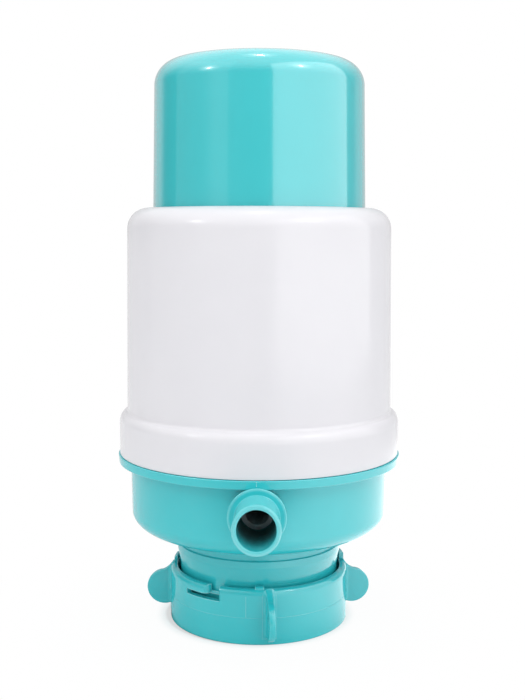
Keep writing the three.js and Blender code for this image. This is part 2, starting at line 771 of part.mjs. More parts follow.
// Outer casing: the white shell, with a stepped skirt and guide ribs inside.
function outerCasing() {
  const foot = flangeTopZ + seatGap;
  const skirtTop = flangeTopZ + skirtHeight;
  const wallFoot = skirtTop + skirtShoulder;
  const mouth = capFootRadius + runningGap;
  const beadZ = flangeTopZ + spigotHeight / 2;
  const skirtBore = spigotRadius + runningGap;
  const step = skirtRadius - casingFootRadius;
  const roundFoot = casingTopZ - casingRound;
  const innerWall = casingTopRadius - casingWall;
  const innerRound = casingInnerRound;
  const shell = turned([
    [skirtBore, foot],
    [skirtRadius, foot],
    ...corner(skirtRadius - step, skirtTop, step, skirtShoulder, 0, 90, 3).slice(0, -1),
    [casingFootRadius, wallFoot],
    ...corner(casingTopRadius - casingRound, roundFoot, casingRound, casingRound, 0, 90),
    [mouth + casingMouthRound, casingTopZ],
    [mouth, casingTopZ - casingMouthRound],
    [mouth, casingCeilingZ],
    ...corner(innerWall - innerRound, casingCeilingZ - innerRound, innerRound, innerRound, 90, 0, 3),
    [casingFootRadius - casingWall, wallFoot - casingWall / 2],
    [skirtBore, skirtTop - casingWall],
    [skirtBore, beadZ + snapBeadHeight],
    [skirtBore + snapBead, beadZ],
    [skirtBore, beadZ - snapBeadHeight],
  ]);
  const ribInner = capFlangeRadius + ribGap;
  const ribDepth = casingTopRadius - casingWall / 2 - ribInner;
  const ribTop = casingCeilingZ - casingInnerRound / 2;
  const rib = solidOf(new THREE.BoxGeometry(ribWidth, ribDepth, ribLength))
    .translate([0, -ribInner - ribDepth / 2, ribTop - ribLength / 2]);
  const midRadius = casingTopRadius - casingWall / 2;
  const midRound = casingRound - casingWall / 2;
  const envelope = turned([
    [0, 0],
    [midRadius, 0],
    [midRadius, roundFoot],
    ...corner(midRadius - midRound, roundFoot, midRound, midRound, 0, 90, 3),
    [0, roundFoot + midRound],
  ]);
  return shell.add(around(rib, ribCount).rotate([0, 0, 45]).intersect(envelope));
}

// Press cap: a deep cup with a stop flange at its foot and a ring inside that pushes the bellows.
function pressCap() {
  const crownTop = capTopZ - capCrown;
  const roundFoot = crownTop - capRound;
  const innerTop = capTopRadius - capWall;
  const innerRound = capRound - capWall;
  const pusherTop = crownTop - capWall / 2;
  const shell = turned([
    [capFootRadius - capWall, capFootZ],
    [capFlangeRadius, capFootZ],
    [capFlangeRadius, capFlangeTopZ],
    [capFootRadius, capFlangeTopZ],
    ...corner(capTopRadius - capRound, roundFoot, capRound, capRound, 0, 90),
    [(capTopRadius - capRound) / 2, capTopZ - capCrown / 4],
    [0, capTopZ],
    [0, capTopZ - capWall],
    [(capTopRadius - capRound) / 2, capTopZ - capCrown / 4 - capWall],
    ...corner(capTopRadius - capRound, roundFoot, innerRound, innerRound, 90, 0, 4),
    [innerTop, roundFoot],
  ]);
  const pusher = ring(pusherRadius - pusherWall, pusherRadius, topPlateTopZ + seatGap, pusherTop, bodyFacets);
  const notchSpan = 2 * pusherRadius + overrun;
  const notch = solidOf(new THREE.BoxGeometry(pusherNotchWidth, notchSpan, pusherNotchDepth + overrun))
    .translate([0, 0, topPlateTopZ + seatGap + (pusherNotchDepth - overrun) / 2]);
  return shell.add(pusher.subtract(notch).subtract(notch.rotate([0, 0, 90])));
}

// Bellows top plate: it carries the intake valve and the top of the spring.
function bellowsTopPlate() {
  const seatInner = springRadius + springWireRadius + runningGap;
  const seatFoot = topPlateFootZ - springSeatHeight;
  return rod(topPlateRadius, topPlateFootZ, topPlateTopZ, bodyFacets)
    .add(ring(seatInner, seatInner + springSeatWall, seatFoot, topPlateFootZ + seatGap))
    .add(valveWall(topPlateFootZ + seatGap / 2))
    .subtract(holes(valveHoleCount, valveHoleCircle, valveHoleRadius, topPlateFootZ, topPlateTopZ));
}

// The pump, put together in three groups that move against each other
const base = new THREE.Group();
base.add(
  meshOf("base_bowl", baseBowl(), tealPlastic),
  meshOf("neck_gasket", neckGasket(), darkRubber),
  meshOf("clamp_ring", clampRing(), whitePlastic),
  meshOf("riser", riser(), innerPlastic),
  meshOf("outlet_socket", outletSocket(), tealPlastic),
  meshOf("outlet_washer", outletWasher(), darkRubber),
  meshOf("outlet_nut", outletNut(), innerPlastic),
  meshOf("plate_seal", plateSeal(), darkRubber),
  meshOf("valve_plate", valvePlate(), innerPlastic),
  meshOf("bellows", bellows(), paleRubber),
  meshOf("bellows_retainer", bellowsRetainer(), innerPlastic),
  meshOf("return_spring", returnSpring(), steel),
  meshOf("outer_casing", outerCasing(), whitePlastic),
);
for (let i = 0; i < screwCount; i += 1) {
  const screw = meshOf("plate_screw_" + (i + 1), plateScrew(), steel);
  const bearing = radians(screwAngle + (360 * i) / screwCount);
  screw.position.set(screwCircle * Math.sin(bearing), -screwCircle * Math.cos(bearing), plateTopZ + seatGap);
  base.add(screw);
}

const deliveryValve = new THREE.Group();
deliveryValve.position.set(0, deliveryValveBack, plateFootZ);
deliveryValve.add(
  meshOf("delivery_valve_disc", valveDisc(), darkRubber),
  meshOf("delivery_valve_cage", valveCage(), innerPlastic),
);
base.add(deliveryValve);

const press = new THREE.Group();
press.add(
  meshOf("press_cap", pressCap(), tealPlastic),
  meshOf("bellows_top_plate", bellowsTopPlate(), innerPlastic),
);
const intakeValve = new THREE.Group();
intakeValve.position.set(0, 0, topPlateFootZ);
intakeValve.add(
  meshOf("intake_valve_disc", valveDisc(), darkRubber),
  meshOf("intake_valve_cage", valveCage(), innerPlastic),
);
press.add(intakeValve);

const collar = new THREE.Group();
collar.add(meshOf("locking_collar", lockingCollar(), tealPlastic));

// The origin is under the middle of the pump's outline, so the axis stands back from it.
const pump = new THREE.Group();
pump.add(base, press, collar);
pump.position.y = (outletReach - flangeRadius) / 2;

const handPump = new THREE.Group();
handPump.add(pump);

if (capStroke > capFootZ - plateTopZ - plateWallHeight) {
  throw new Error("the cap's flange would reach the valve plate before the end of its stroke");
}

export default handPump;
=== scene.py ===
from math import atan2, cos, pi, radians, sin, sqrt

import bmesh
import bpy
from mathutils import Matrix, Vector


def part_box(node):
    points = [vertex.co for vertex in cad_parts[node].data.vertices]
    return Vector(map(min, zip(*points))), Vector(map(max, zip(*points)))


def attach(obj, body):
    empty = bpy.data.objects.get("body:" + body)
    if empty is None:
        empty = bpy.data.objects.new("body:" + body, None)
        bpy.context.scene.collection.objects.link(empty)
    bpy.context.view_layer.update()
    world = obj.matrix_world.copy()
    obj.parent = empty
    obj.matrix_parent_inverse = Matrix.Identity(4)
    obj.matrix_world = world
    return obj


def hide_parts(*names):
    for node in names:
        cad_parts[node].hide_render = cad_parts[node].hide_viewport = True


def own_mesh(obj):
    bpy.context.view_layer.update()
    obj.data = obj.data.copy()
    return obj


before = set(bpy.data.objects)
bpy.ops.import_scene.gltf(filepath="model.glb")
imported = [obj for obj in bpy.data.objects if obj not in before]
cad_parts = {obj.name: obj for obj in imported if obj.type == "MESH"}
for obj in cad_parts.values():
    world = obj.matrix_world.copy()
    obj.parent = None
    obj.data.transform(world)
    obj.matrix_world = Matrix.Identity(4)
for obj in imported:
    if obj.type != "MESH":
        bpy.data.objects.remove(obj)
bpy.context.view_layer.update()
mm = 0.001

# The pump stands upright on its collar. Every round piece shares one vertical axis, which the
# packed casing gives. Sizes of pieces are in millimetres, from the middle of the collar's foot.
casing_low, casing_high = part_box("outer_casing")
axis_x = (casing_low[0] + casing_high[0]) / 2
axis_y = (casing_low[1] + casing_high[1]) / 2

# The camera looks a little down on the pump from the height of its casing, from close by. It is
# turned half a degree round the pump's axis, and leans a hair to one side.
camera_distance = 426 * mm
camera_height = 156 * mm
camera_right = 1.38 * mm
camera_pitch = 6.3
camera_roll = 0.12
camera_turn = 0.5
picture_height = 700
focal_pixels = 1065.5
camera = bpy.data.objects.new("camera", bpy.data.cameras.new("camera"))
camera.data.lens = camera.data.sensor_width * focal_pixels / picture_height
camera.data.clip_start = 10 * mm
swing = Matrix.Rotation(radians(camera_turn), 4, "Z")
tilt = Matrix.Rotation(radians(90 - camera_pitch), 4, "X")
roll = Matrix.Rotation(radians(camera_roll), 4, "Z")
camera.location = swing @ Vector((camera_right, -camera_distance, camera_height))
camera.location += Vector((axis_x, axis_y, 0))
camera.rotation_euler = (swing @ tilt @ roll).to_euler()
bpy.context.collection.objects.link(camera)
bpy.context.scene.camera = camera
bpy.context.scene.view_settings.view_transform = "Standard"


class Port:
    """One output of a material's nodes. Arithmetic on it adds the Math nodes."""

    def __init__(self, tree, socket=None):
        self.tree = tree
        self.socket = socket

    def node(self, kind, settings=None, inputs=None, output=0):
        """Adds a node: its settings first, then the values or links of its sockets."""
        made = self.tree.nodes.new(kind)
        for key, value in (settings or {}).items():
            setattr(made, key, value)
        for key, value in (inputs or {}).items():
            if isinstance(value, Port):
                self.tree.links.new(value.socket, made.inputs[key])
            else:
                made.inputs[key].default_value = value
        return Port(self.tree, made.outputs[output]) if made.outputs else made

    def sum(self, operation, first, second):
        """A Math node with two inputs, each a number or a port."""
        return self.node("ShaderNodeMath", {"operation": operation}, {0: first, 1: second})

    def __add__(self, other):
        return self.sum("ADD", self, other)

    def __radd__(self, other):
        return self.sum("ADD", other, self)

    def __sub__(self, other):
        return self.sum("SUBTRACT", self, other)

    def __rsub__(self, other):
        return self.sum("SUBTRACT", other, self)

    def __mul__(self, other):
        return self.sum("MULTIPLY", self, other)

    def __rmul__(self, other):
        return self.sum("MULTIPLY", other, self)

    def along(self, axis):
        """One coordinate of a place or a direction."""
        return self.node("ShaderNodeSeparateXYZ", inputs={"Vector": self}, output=axis)

    def ray(self, kind):
        """1 on rays of one kind, 0 on others."""
        return self.node("ShaderNodeLightPath", output=f"Is {kind} Ray")

    def noise(self, scale, detail, rough=0.5):
        """Noise over the places in this output."""
        return self.node(
            "ShaderNodeTexNoise",
            inputs={"Vector": self, "Scale": scale, "Detail": detail, "Roughness": rough},
        )

    def between(self, low, high):
        """0 below low, 1 above high, and a smooth rise between them."""
        return self.node(
            "ShaderNodeMapRange",
            {"interpolation_type": "SMOOTHSTEP"},
            {"Value": self, "From Min": low, "From Max": high},
        )

    def mix(self, low, high):
        """The colour low where this value is 0, and the colour high where it is 1."""
        return self.node(
            "ShaderNodeMix", {"data_type": "RGBA"}, {"Factor": self, 6: low, 7: high}, output=2
        )


def emptied(tree):
    """Clears a node tree and wraps it."""
    tree.nodes.clear()
    return Port(tree)


def blank(name):
    """A new material, its empty node tree, and the places on the object that wears it."""
    material = bpy.data.materials.new(name)
    material.use_nodes = True
    skin = emptied(material.node_tree)
    return material, skin, skin.node("ShaderNodeTexCoord", output="Object")


# The studio: the camera sees plain white, the pump's gloss sees a dim room with a pale backdrop
# and a broad pale ceiling, and its matt colour gets even light that fades out straight in front.
backdrop_edge = (0.52, 0.64)
ceiling_edge = (0.12, 0.95)
backdrop_light = 0.62
ceiling_light = 1.5
room_light = 0.42
even_light = 0.85
room_dark = 0.1
room_dark_edge = (0.87, 0.96)
side_light = 0.16
side_edge = (0.7, 0.9)
world = bpy.data.worlds.new("studio")
world.use_nodes = True
bpy.context.scene.world = world
air = emptied(world.node_tree)
toward = air.node("ShaderNodeTexCoord", output="Generated")
back = toward.along("Y")
seen = air.ray("Camera")
mirrored = air.ray("Glossy")
through = air.ray("Transmission")
behind = back.between(*backdrop_edge) * (backdrop_light - room_light)
overhead = toward.along("Z").between(*ceiling_edge) * (ceiling_light - room_light)
shade = (room_light - side_light) * (0 - toward.along("X")).between(*side_edge)
room = room_light - shade + air.sum("MAXIMUM", behind, overhead)
even = even_light - (even_light - room_dark) * (0 - back).between(*room_dark_edge)
shown = air.sum("MAXIMUM", seen, through)
strength = shown + (1 - shown) * (mirrored * room + (1 - mirrored) * even)
white = (1, 1, 1, 1)
background = air.node("ShaderNodeBackground", inputs={"Color": white, "Strength": strength})
air.node("ShaderNodeOutputWorld", inputs={"Surface": background})


# Two tall softboxes stand left and right of the pump and show only as bands in its gloss. Two
# fill lamps, low on the right and overhead, only light it. Three bulbs make glints on the cap.
def softbox(name, bearing, distance, height, width, tall, power, aim):
    """An area lamp at a bearing from the front, aimed at a height on the axis. In metres."""
    lamp = bpy.data.objects.new(name, bpy.data.lights.new(name, "AREA"))
    lamp.data.shape = "RECTANGLE"
    lamp.data.size = width
    lamp.data.size_y = tall
    lamp.data.energy = power
    turn = radians(bearing)
    lamp.location = (axis_x + distance * sin(turn), axis_y - distance * cos(turn), height)
    away = Vector(lamp.location) - Vector((axis_x, axis_y, aim))
    lamp.rotation_euler = away.to_track_quat("Z", "Y").to_euler()
    bpy.context.collection.objects.link(lamp)
    return lamp


softbox_distance = 0.8
softbox_height = 0.6
softbox_tall = 1.2
for name, bearing, width, power in (("softbox_right", 60.5, 1.66, 8.7),
                                    ("softbox_left", -64.5, 1.03, 1.0)):
    softbox(name, bearing, softbox_distance, softbox_height, width, softbox_tall, power,
            softbox_height).visible_diffuse = False
for fill in (("fill_right", 50, 0.6, 0.05, 0.6, 0.3, 0.32, 0.04),
             ("softbox_top", 5, 0.35, 0.62, 0.5, 0.5, 1.05, 0.06)):
    softbox(*fill).visible_glossy = False

# A bulb is a small bright disc with two wider ones round it, for the halo of its glint.
cap_height = 0.215
bulb_distance = 0.78
bulb_places = ((-56.7, 26.7), (48.7, 34.0), (0, 84))
bulb_discs = ((0.05, 0.26), (0.16, 0.08), (0.3, 0.12))
for number, (bearing, lift) in enumerate(bulb_places, 1):
    run = bulb_distance * cos(radians(lift))
    bulb_height = cap_height + bulb_distance * sin(radians(lift))
    for size, power in bulb_discs:
        softbox(f"bulb_{number}", bearing, run, bulb_height, size, size, power,
                cap_height).data.shape = "DISK"

# The floor: a pale plain sheet that keeps the pump's shadow close round its foot and whitens
# further out. Right round the foot its colour is painted dark, a painted contact shadow. Only
# the pump's gloss sees its dark front end and the glowing place on the right, painted light.
floor_reach = 60.0
floor_pale = (0.9, 0.9, 0.905, 1)
floor_dark = (0.3, 0.3, 0.3, 1)
floor_glow = 2.0
shadow_reach = (0.0362, 0.0415)
shadow_share = 0.34
shadow_core = (0.0362, 0.0378)
shadow_shift = (0.0012 - axis_x, -0.0012 - axis_y, 0)
shadow_fade = (0.04, 0.12)
shadow_far = 0.04
table_edge = (-0.3, -0.12)
table_side = (0.08, 0.3)
table_bright = (0, 0.08)
bright_reach = (0.3, 0.42)
floor_mesh = bpy.data.meshes.new("floor")
floor_mesh.from_pydata(
    [(x * floor_reach, y * floor_reach, 0) for x, y in ((-1, -1), (1, -1), (1, 1), (-1, 1))],
    [],
    [(0, 1, 2, 3)],
)
floor = bpy.data.objects.new("floor", floor_mesh)
bpy.context.collection.objects.link(floor)
floor_paper, paper, place = blank("floor_paper")
across = place.along("X")
aside = paper.node("ShaderNodeMath", {"operation": "ABSOLUTE"}, {0: across})
beside = paper.node("ShaderNodeVectorMath", {"operation": "ADD"}, {0: place, 1: shadow_shift})
reach = paper.node("ShaderNodeVectorMath", {"operation": "LENGTH"}, {0: beside}, output="Value")
mirrored = paper.ray("Glossy")
table_end = mirrored * (1 - place.along("Y").between(*table_edge))
table_end = table_end * (1 - aside.between(*table_side))
# Painted contact shadow: the floor's colour goes dark right round the pump's foot.
painted_contact_shadow = 1 - reach.between(*shadow_core)
sheet = paper.sum("MAXIMUM", table_end, painted_contact_shadow).mix(floor_pale, floor_dark)
matt = paper.node("ShaderNodeBsdfDiffuse", inputs={"Color": sheet})
bright = paper.node("ShaderNodeEmission", inputs={"Color": white, "Strength": floor_glow})
# Painted light: in the pump's gloss only, the floor glows brightly on its right side.
flooded = mirrored * across.between(*table_bright) * (1 - table_end) * (1 - painted_contact_shadow)
flooded = flooded * (1 - reach.between(*bright_reach))
lit = paper.node("ShaderNodeMixShader", inputs={0: flooded, 1: matt, 2: bright})
glow = paper.node("ShaderNodeEmission", inputs={"Color": white})
shown = paper.ray("Camera")
near_shadow = shadow_share * (1 - reach.between(*shadow_reach))
far_shadow = shadow_far * (1 - reach.between(*shadow_fade))
whitened = shown * (1 - (near_shadow + far_shadow))
surface = paper.node("ShaderNodeMixShader", inputs={0: whitened, 1: lit, 2: glow})
paper.node("ShaderNodeOutputMaterial", inputs={"Surface": surface})
floor_mesh.materials.append(floor_paper)


# Locking collar: the lowest piece, one glossy teal polypropylene moulding that turns on the
# pump's neck. It has four thumb ears, two latch slots, and the fine lines of its mould.
collar_radius = 36
collar_height = 21.5
collar_bore = 33.8
lip_bore = 28.4
lip_height = 1.6
rim_bore = 33.1
rim_depth = 3.1
rim_run = 1.6
rim_rise = 2.6
edge_round = 0.3
foot_round = 0.6
parting_height = 10.6
parting_half = 0.17
parting_proud = 0.1
slot_foot = 16.1
slot_top = 18.0
slot_bearings = (-50.4, -24.8)
gap_bearings = (-32.4, -24.8)
latch_end_round = 2.9
gap_corner_round = 1.3
ear_bearings = (-90, 7.3, 95, 187)
ear_radius = 7.1
ear_reach = 45.75
ear_half = 1.2
ear_edge = 0.42
ear_height = 11.1
root_round = 1.4
margin_half = 2.8
margin_top = 18.55
margin_proud = 0.15
front_ear_from = 16
front_ear_deeper = 0.1
nub_bearing = 1.2
nub_sweep = 5.8
nub_foot = 18.1
stop_shapes = ((-99.7, -88.9, 34.6, 24.0), (94.6, 107.2, 35.05, 24.9))
stop_inner = 33.3
stop_foot = 20.4
cam_inner = 33.1
cam_start = 0.3
cam_sweep = 24
cam_heights = (3, 13.1)
quarter_turns = (0, 90, 180, 270)
witness_bearings = (-7.3, -6.9)
witness_proud = 0.09
fine_steps = 240
wedge_step = 1.25
overrun = 2


def arc(x, y, run, rise, start, end, steps=10):
    """Points of part of an ellipse round (x, y), in degrees from the outward direction."""
    angles = [radians(start + (end - start) * i / steps) for i in range(steps + 1)]
    return [(x + run * cos(angle), y + rise * sin(angle)) for angle in angles]


def piece(name, verts, faces):
    """A new object with a closed mesh, in the scene."""
    mesh = bpy.data.meshes.new(name)
    mesh.from_pydata(verts, [], faces)
    shaped = bmesh.new()
    shaped.from_mesh(mesh)
    bmesh.ops.remove_doubles(shaped, verts=shaped.verts, dist=1e-4)
    bmesh.ops.recalc_face_normals(shaped, faces=shaped.faces)
    shaped.to_mesh(mesh)
    shaped.free()
    made = bpy.data.objects.new(name, mesh)
    bpy.context.collection.objects.link(made)
    return made


def eased(outline, least=1.0, inset=0.14):
    """Adds a point near each end of a long side, so that a round beside it shades cleanly."""
    points = []
    for i, (r, z) in enumerate(outline):
        points.append((r, z))
        next_r, next_z = outline[(i + 1) % len(outline)]
        length = sqrt((next_r - r) ** 2 + (next_z - z) ** 2)
        if length > least and (r > 0 or next_r > 0):
            for part in (inset / length, 1 - inset / length):
                points.append((r + (next_r - r) * part, z + (next_z - z) * part))
    return points


def turned(name, outline, steps=144):
    """A closed outline of (radius, height) points turned round the vertical through the origin."""
    outline = eased([(r if r > 1e-6 else 0, z) for r, z in outline])
    count = len(outline)
    verts = []
    for i in range(steps):
        turn = 2 * pi * i / steps
        verts += [(r * sin(turn), -r * cos(turn), z) for r, z in outline]
    faces = []
    for i in range(steps):
        a, b = i * count, (i + 1) % steps * count
        for j in range(count):
            k = (j + 1) % count
            if outline[j][0] == 0 and outline[k][0] == 0:
                continue
            if outline[j][0] == 0:
                faces.append((a + j, a + k, b + k))
            elif outline[k][0] == 0:
                faces.append((a + j, a + k, b + j))
            else:
                faces.append((a + j, a + k, b + k, b + j))
    return piece(name, verts, faces)


def prism(name, outline, foot, top):
    """A closed (x, y) outline as an upright block."""
    count = len(outline)
    verts = [(x, y, foot) for x, y in outline] + [(x, y, top) for x, y in outline]
    faces = [(i, (i + 1) % count, (i + 1) % count + count, i + count) for i in range(count)]
    faces += [tuple(range(count))[::-1], tuple(range(count, 2 * count))]
    return piece(name, verts, faces)


def block(name, half, near, far, foot, top):
    """An upright block, so wide to each side of the middle, between two places in depth."""
    return prism(name, [(-half, near), (half, near), (half, far), (-half, far)], foot, top)


def polar(radius, bearing):
    """A place in plan, its bearing in degrees from the front."""
    return radius * sin(radians(bearing)), -radius * cos(radians(bearing))


def wedge(name, inner, outer, start, end, foot, top):
    """An arched block between two radii and two bearings."""
    steps = max(2, round(abs(end - start) / wedge_step))
    turns = [start + (end - start) * i / steps for i in range(steps + 1)]
    outline = [polar(outer, turn) for turn in turns]
    outline += [polar(inner, turn) for turn in reversed(turns)]
    return prism(name, outline, foot, top)


def spread(bearing, sweep):
    """The two ends of a sweep round a bearing."""
    return bearing - sweep / 2, bearing + sweep / 2


def sector(name, outline, start, end, steps=10):
    """A closed (radius, height) outline swept from one bearing to another."""
    count = len(outline)
    verts = []
    for i in range(steps + 1):
        verts += [(*polar(r, start + (end - start) * i / steps), z) for r, z in outline]
    faces = [tuple(range(count))[::-1], tuple(range(steps * count, (steps + 1) * count))]
    for i in range(steps):
        a, b = i * count, (i + 1) * count
        faces += [(a + j, a + (j + 1) % count, b + (j + 1) % count, b + j) for j in range(count)]
    return piece(name, verts, faces)


def moved(made, matrix):
    """Moves a piece's mesh, and gives the piece back."""
    made.data.transform(matrix)
    return made


def about(bearing):
    """A turn round the pump's axis, in degrees."""
    return Matrix.Rotation(radians(bearing), 4, "Z")


def combine(made, tools, operation):
    """Joins tools to a piece or cuts them from it, and takes the tools away."""
    for tool in tools:
        change = made.modifiers.new("change", "BOOLEAN")
        change.operation = operation
        change.solver = "EXACT"
        change.object = tool
    bpy.context.view_layer.update()
    final = made.evaluated_get(bpy.context.evaluated_depsgraph_get())
    mesh = bpy.data.meshes.new_from_object(final)
    made.modifiers.clear()
    made.data = mesh
    for tool in tools:
        bpy.data.objects.remove(tool)
    return made


def fitted(made, finish, body, replaced, sharpest=30):
    """Sets a finished piece in metres on the pump's axis, in its material, on its body."""
    moved(made, Matrix.Translation((axis_x, axis_y, 0)) @ Matrix.Scale(mm, 4))
    made.data.materials.clear()
    made.data.materials.append(finish)
    made.data.shade_smooth()
    made.data.set_sharp_from_angle(angle=radians(sharpest))
    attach(made, body)
    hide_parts(*replaced)
    return made


teal = (0.031, 0.553, 0.6, 1)
deep_teal = (0.026, 0.533, 0.58, 1)
# The paler teal painted along thin edges is a painted highlight.
edge_highlight_teal = (0.3, 0.76, 0.79, 1)
teal_roughness = 0.09
teal_gloss = 0.8
edge_depth = 0.0006
plastic_ior = 1.5


def moulded_plastic(name, colour, deeper, roughness, gloss, grain=1.0, lacquer=0.0, edge=None,
                    thin=edge_depth, bore=None):
    """Injection-moulded plastic: faint clouds in the colour, orange peel, and rubbed patches.

    An edge colour, a painted highlight, shows where the wall is thinner than thin, and a bore
    colour, painted shade, deep in a hole.
    """
    material, skin, place = blank(name)

    def shelter(distance, inside):
        """1 in the open, and less where the surface has itself close by, on one side of it."""
        return skin.node(
            "ShaderNodeAmbientOcclusion",
            {"inside": inside, "only_local": True, "samples": 8},
            {"Distance": distance}, output="AO",
        )

    clouds = place.noise(scale=38, detail=3)
    handled = place.noise(scale=45, detail=3)
    peel = place.noise(scale=620, detail=1.5)
    grit = place.noise(scale=2600, detail=1)
    base = clouds.between(0.3, 0.7).mix(deeper, colour)
    if bore:
        # Hardly any light gets deep into a narrow bore, so there the colour is painted dark:
        # painted shade.
        open_air = shelter(distance=0.03, inside=False)
    if edge:
        # Thin edges are painted paler: a painted highlight, and the light that thin plastic lets
        # through.
        painted_edge_highlight = (1 - shelter(distance=thin, inside=True)).between(0.08, 0.5) * 0.7
        if bore:
            painted_edge_highlight = painted_edge_highlight * open_air.between(0.4, 0.6)
        base = painted_edge_highlight.mix(base, edge)
    rubbed = handled.between(0.3, 0.8)
    rough = roughness * (0.9 + 0.2 * clouds) + 0.02 * rubbed * grain
    relief = peel * 0.7 + grit * 0.3 * grain
    bump = skin.node(
        "ShaderNodeBump", inputs={"Strength": 0.3, "Distance": 0.00003, "Height": relief}
    )
    if bore:
        # Painted shade deep in the bore: the colour goes dark there, and the surface rougher.
        painted_bore_shade = 1 - open_air.between(0.05, 0.38)
        base = painted_bore_shade.mix(base, bore)
        rough = rough + 0.9 * painted_bore_shade
    shader = skin.node(
        "ShaderNodeBsdfPrincipled",
        inputs={"Base Color": base, "Roughness": rough, "IOR": plastic_ior, "Normal": bump,
                "Specular IOR Level": gloss, "Coat Weight": lacquer, "Coat Roughness": 0.05},
    )
    skin.node("ShaderNodeOutputMaterial", inputs={"Surface": shader})
    return material


# Its thin edges are painted paler, a painted highlight.
body_teal = moulded_plastic(
    "body_teal", teal, deep_teal, teal_roughness, teal_gloss, edge=edge_highlight_teal
)

collar_outline = [
    (collar_radius - foot_round, 0),
    *arc(collar_radius - foot_round, foot_round, foot_round, foot_round, -90, 0, 8)[1:],
    (collar_radius, parting_height - parting_half),
    (collar_radius + parting_proud, parting_height - parting_half / 3),
    (collar_radius + parting_proud, parting_height + parting_half / 3),
    (collar_radius, parting_height + parting_half),
    *arc(collar_radius - rim_run, collar_height - rim_rise, rim_run, rim_rise, 0, 90, 14),
    *arc(rim_bore + edge_round, collar_height - edge_round, edge_round, edge_round, 90, 180, 4),
    (rim_bore, collar_height - rim_depth),
    (collar_bore, collar_height - rim_depth),
    (collar_bore, lip_height),
    (lip_bore, lip_height),
    (lip_bore, edge_round),
    (lip_bore + edge_round, 0),
]
collar = turned("collar_ring", collar_outline, fine_steps)
latch_inner = collar_bore - 3
latch_outer = collar_radius + overrun


def gap_outline():
    """The open end of the latch in plan: the bar's end is rounded at its outer edge."""
    ends = []
    for bearing, turn, size in ((gap_bearings[0], -1, latch_end_round),
                                (gap_bearings[1], 1, gap_corner_round)):
        side = [polar(latch_inner, bearing)]
        for x, y in arc(0, 0, size, size, 0, 90, 6):
            swing = turn * (size - x) / collar_radius * 180 / pi
            side.append(polar(collar_radius - size + y, bearing + swing))
        side.append(polar(latch_outer, bearing + turn * size / collar_radius * 180 / pi))
        ends.append(side)
    return ends[0] + ends[1][::-1]


latch_cuts = []
for half_turn in (0, 180):
    gap = prism("gap", gap_outline(), slot_foot + 0.01, collar_height + overrun)
    slot = wedge("slot", latch_inner, latch_outer, *slot_bearings, slot_foot, slot_top)
    latch_cuts += [moved(gap, about(half_turn)), moved(slot, about(half_turn))]
combine(collar, latch_cuts, "DIFFERENCE")

# Each thumb ear is a flat disc on edge. A web climbs from its top to the collar's shoulder, and
# a hollow round joins both to the wall, so the ear widens where it meets the collar.
ear_middle = ear_reach - ear_radius
web_start = 85
web_bend = (36.9, 19.2)
web_tip = (35.15, 21.9)
web_steps = 40
ear_inner = 34.15
ear_rays = 132
ear_steps = 30
root_corner = 1.4
shoulder_radius = collar_radius - rim_run
shoulder_height = collar_height - rim_rise


# The web's upper edge curves from the ear's disc to the collar's shoulder.
ear_centre = Vector((ear_middle, ear_height))
web_foot = ear_centre + ear_radius * Vector((cos(radians(web_start)), sin(radians(web_start))))
ear_web = []
for i in range(web_steps + 1):
    t = i / web_steps
    ear_web.append(
        (1 - t) ** 2 * web_foot + 2 * t * (1 - t) * Vector(web_bend) + t * t * Vector(web_tip)
    )
web_turns = [atan2(p.y - ear_height, p.x - ear_middle) for p in ear_web]


def ear_span(turn):
    """How far the ear's outline is from its middle, in a direction in radians."""
    if radians(web_start) <= turn <= web_turns[-1]:
        for i in range(len(ear_web) - 1):
            if web_turns[i] <= turn <= web_turns[i + 1]:
                part = (turn - web_turns[i]) / (web_turns[i + 1] - web_turns[i])
                return (ear_web[i].lerp(ear_web[i + 1], part) - ear_centre).length
    inward = (ear_middle - ear_inner) / -cos(turn) if cos(turn) < 0 else 99
    if turn > web_turns[-1]:
        return min(inward, (ear_web[-1] - ear_centre).length)
    return min(inward, ear_radius)


def ear_half_width(r, z, edge):
    """Half the ear's thickness at a place, at a distance from its edge."""
    if z > shoulder_height:
        across = (r - shoulder_radius) / rim_run
        out = rim_run * (sqrt(across ** 2 + ((z - shoulder_height) / rim_rise) ** 2) - 1)
    else:
        out = r - collar_radius
    out = min(max(out, 0), root_round)
    flare = root_round - sqrt(root_round ** 2 - (root_round - out) ** 2)
    half = ear_half + flare
    corner = min(ear_edge + root_corner * flare / root_round, half - 0.05)
    if edge < corner:
        half -= corner - sqrt(corner ** 2 - (corner - edge) ** 2)
    return half


def ear():
    """A thumb ear that points to the front."""
    verts = []
    for side in (-1, 1):
        verts.append((side * ear_half, -ear_middle, ear_height))
        for i in range(ear_rays):
            turn = -pi + 2 * pi * (i + 0.5) / ear_rays
            span = ear_span(turn)
            for j in range(1, ear_steps + 1):
                part = sin(pi / 2 * j / ear_steps)
                r = ear_middle + span * part * cos(turn)
                z = ear_height + span * part * sin(turn)
                half = ear_half_width(r, z, span * (1 - part) if r > ear_inner + 0.5 else 9)
                verts.append((side * half, -r, z))
    count = 1 + ear_rays * ear_steps
    faces = []
    for base in (0, count):
        for i in range(ear_rays):
            a = base + 1 + i * ear_steps
            b = base + 1 + (i + 1) % ear_rays * ear_steps
            faces.append((base, a, b))
            faces += [(a + j, a + j + 1, b + j + 1, b + j) for j in range(ear_steps - 1)]
    for i in range(ear_rays):
        a = (i + 1) * ear_steps
        b = ((i + 1) % ear_rays + 1) * ear_steps
        faces.append((a, b, b + count, a + count))
    return piece("ear", verts, faces)


ears = []
for bearing in ear_bearings:
    made = ear()
    if bearing == ear_bearings[1]:
        for vert in made.data.vertices:
            if vert.co.z < front_ear_from:
                vert.co.z -= (front_ear_from - vert.co.z) * front_ear_deeper
    ears.append(moved(made, about(bearing)))

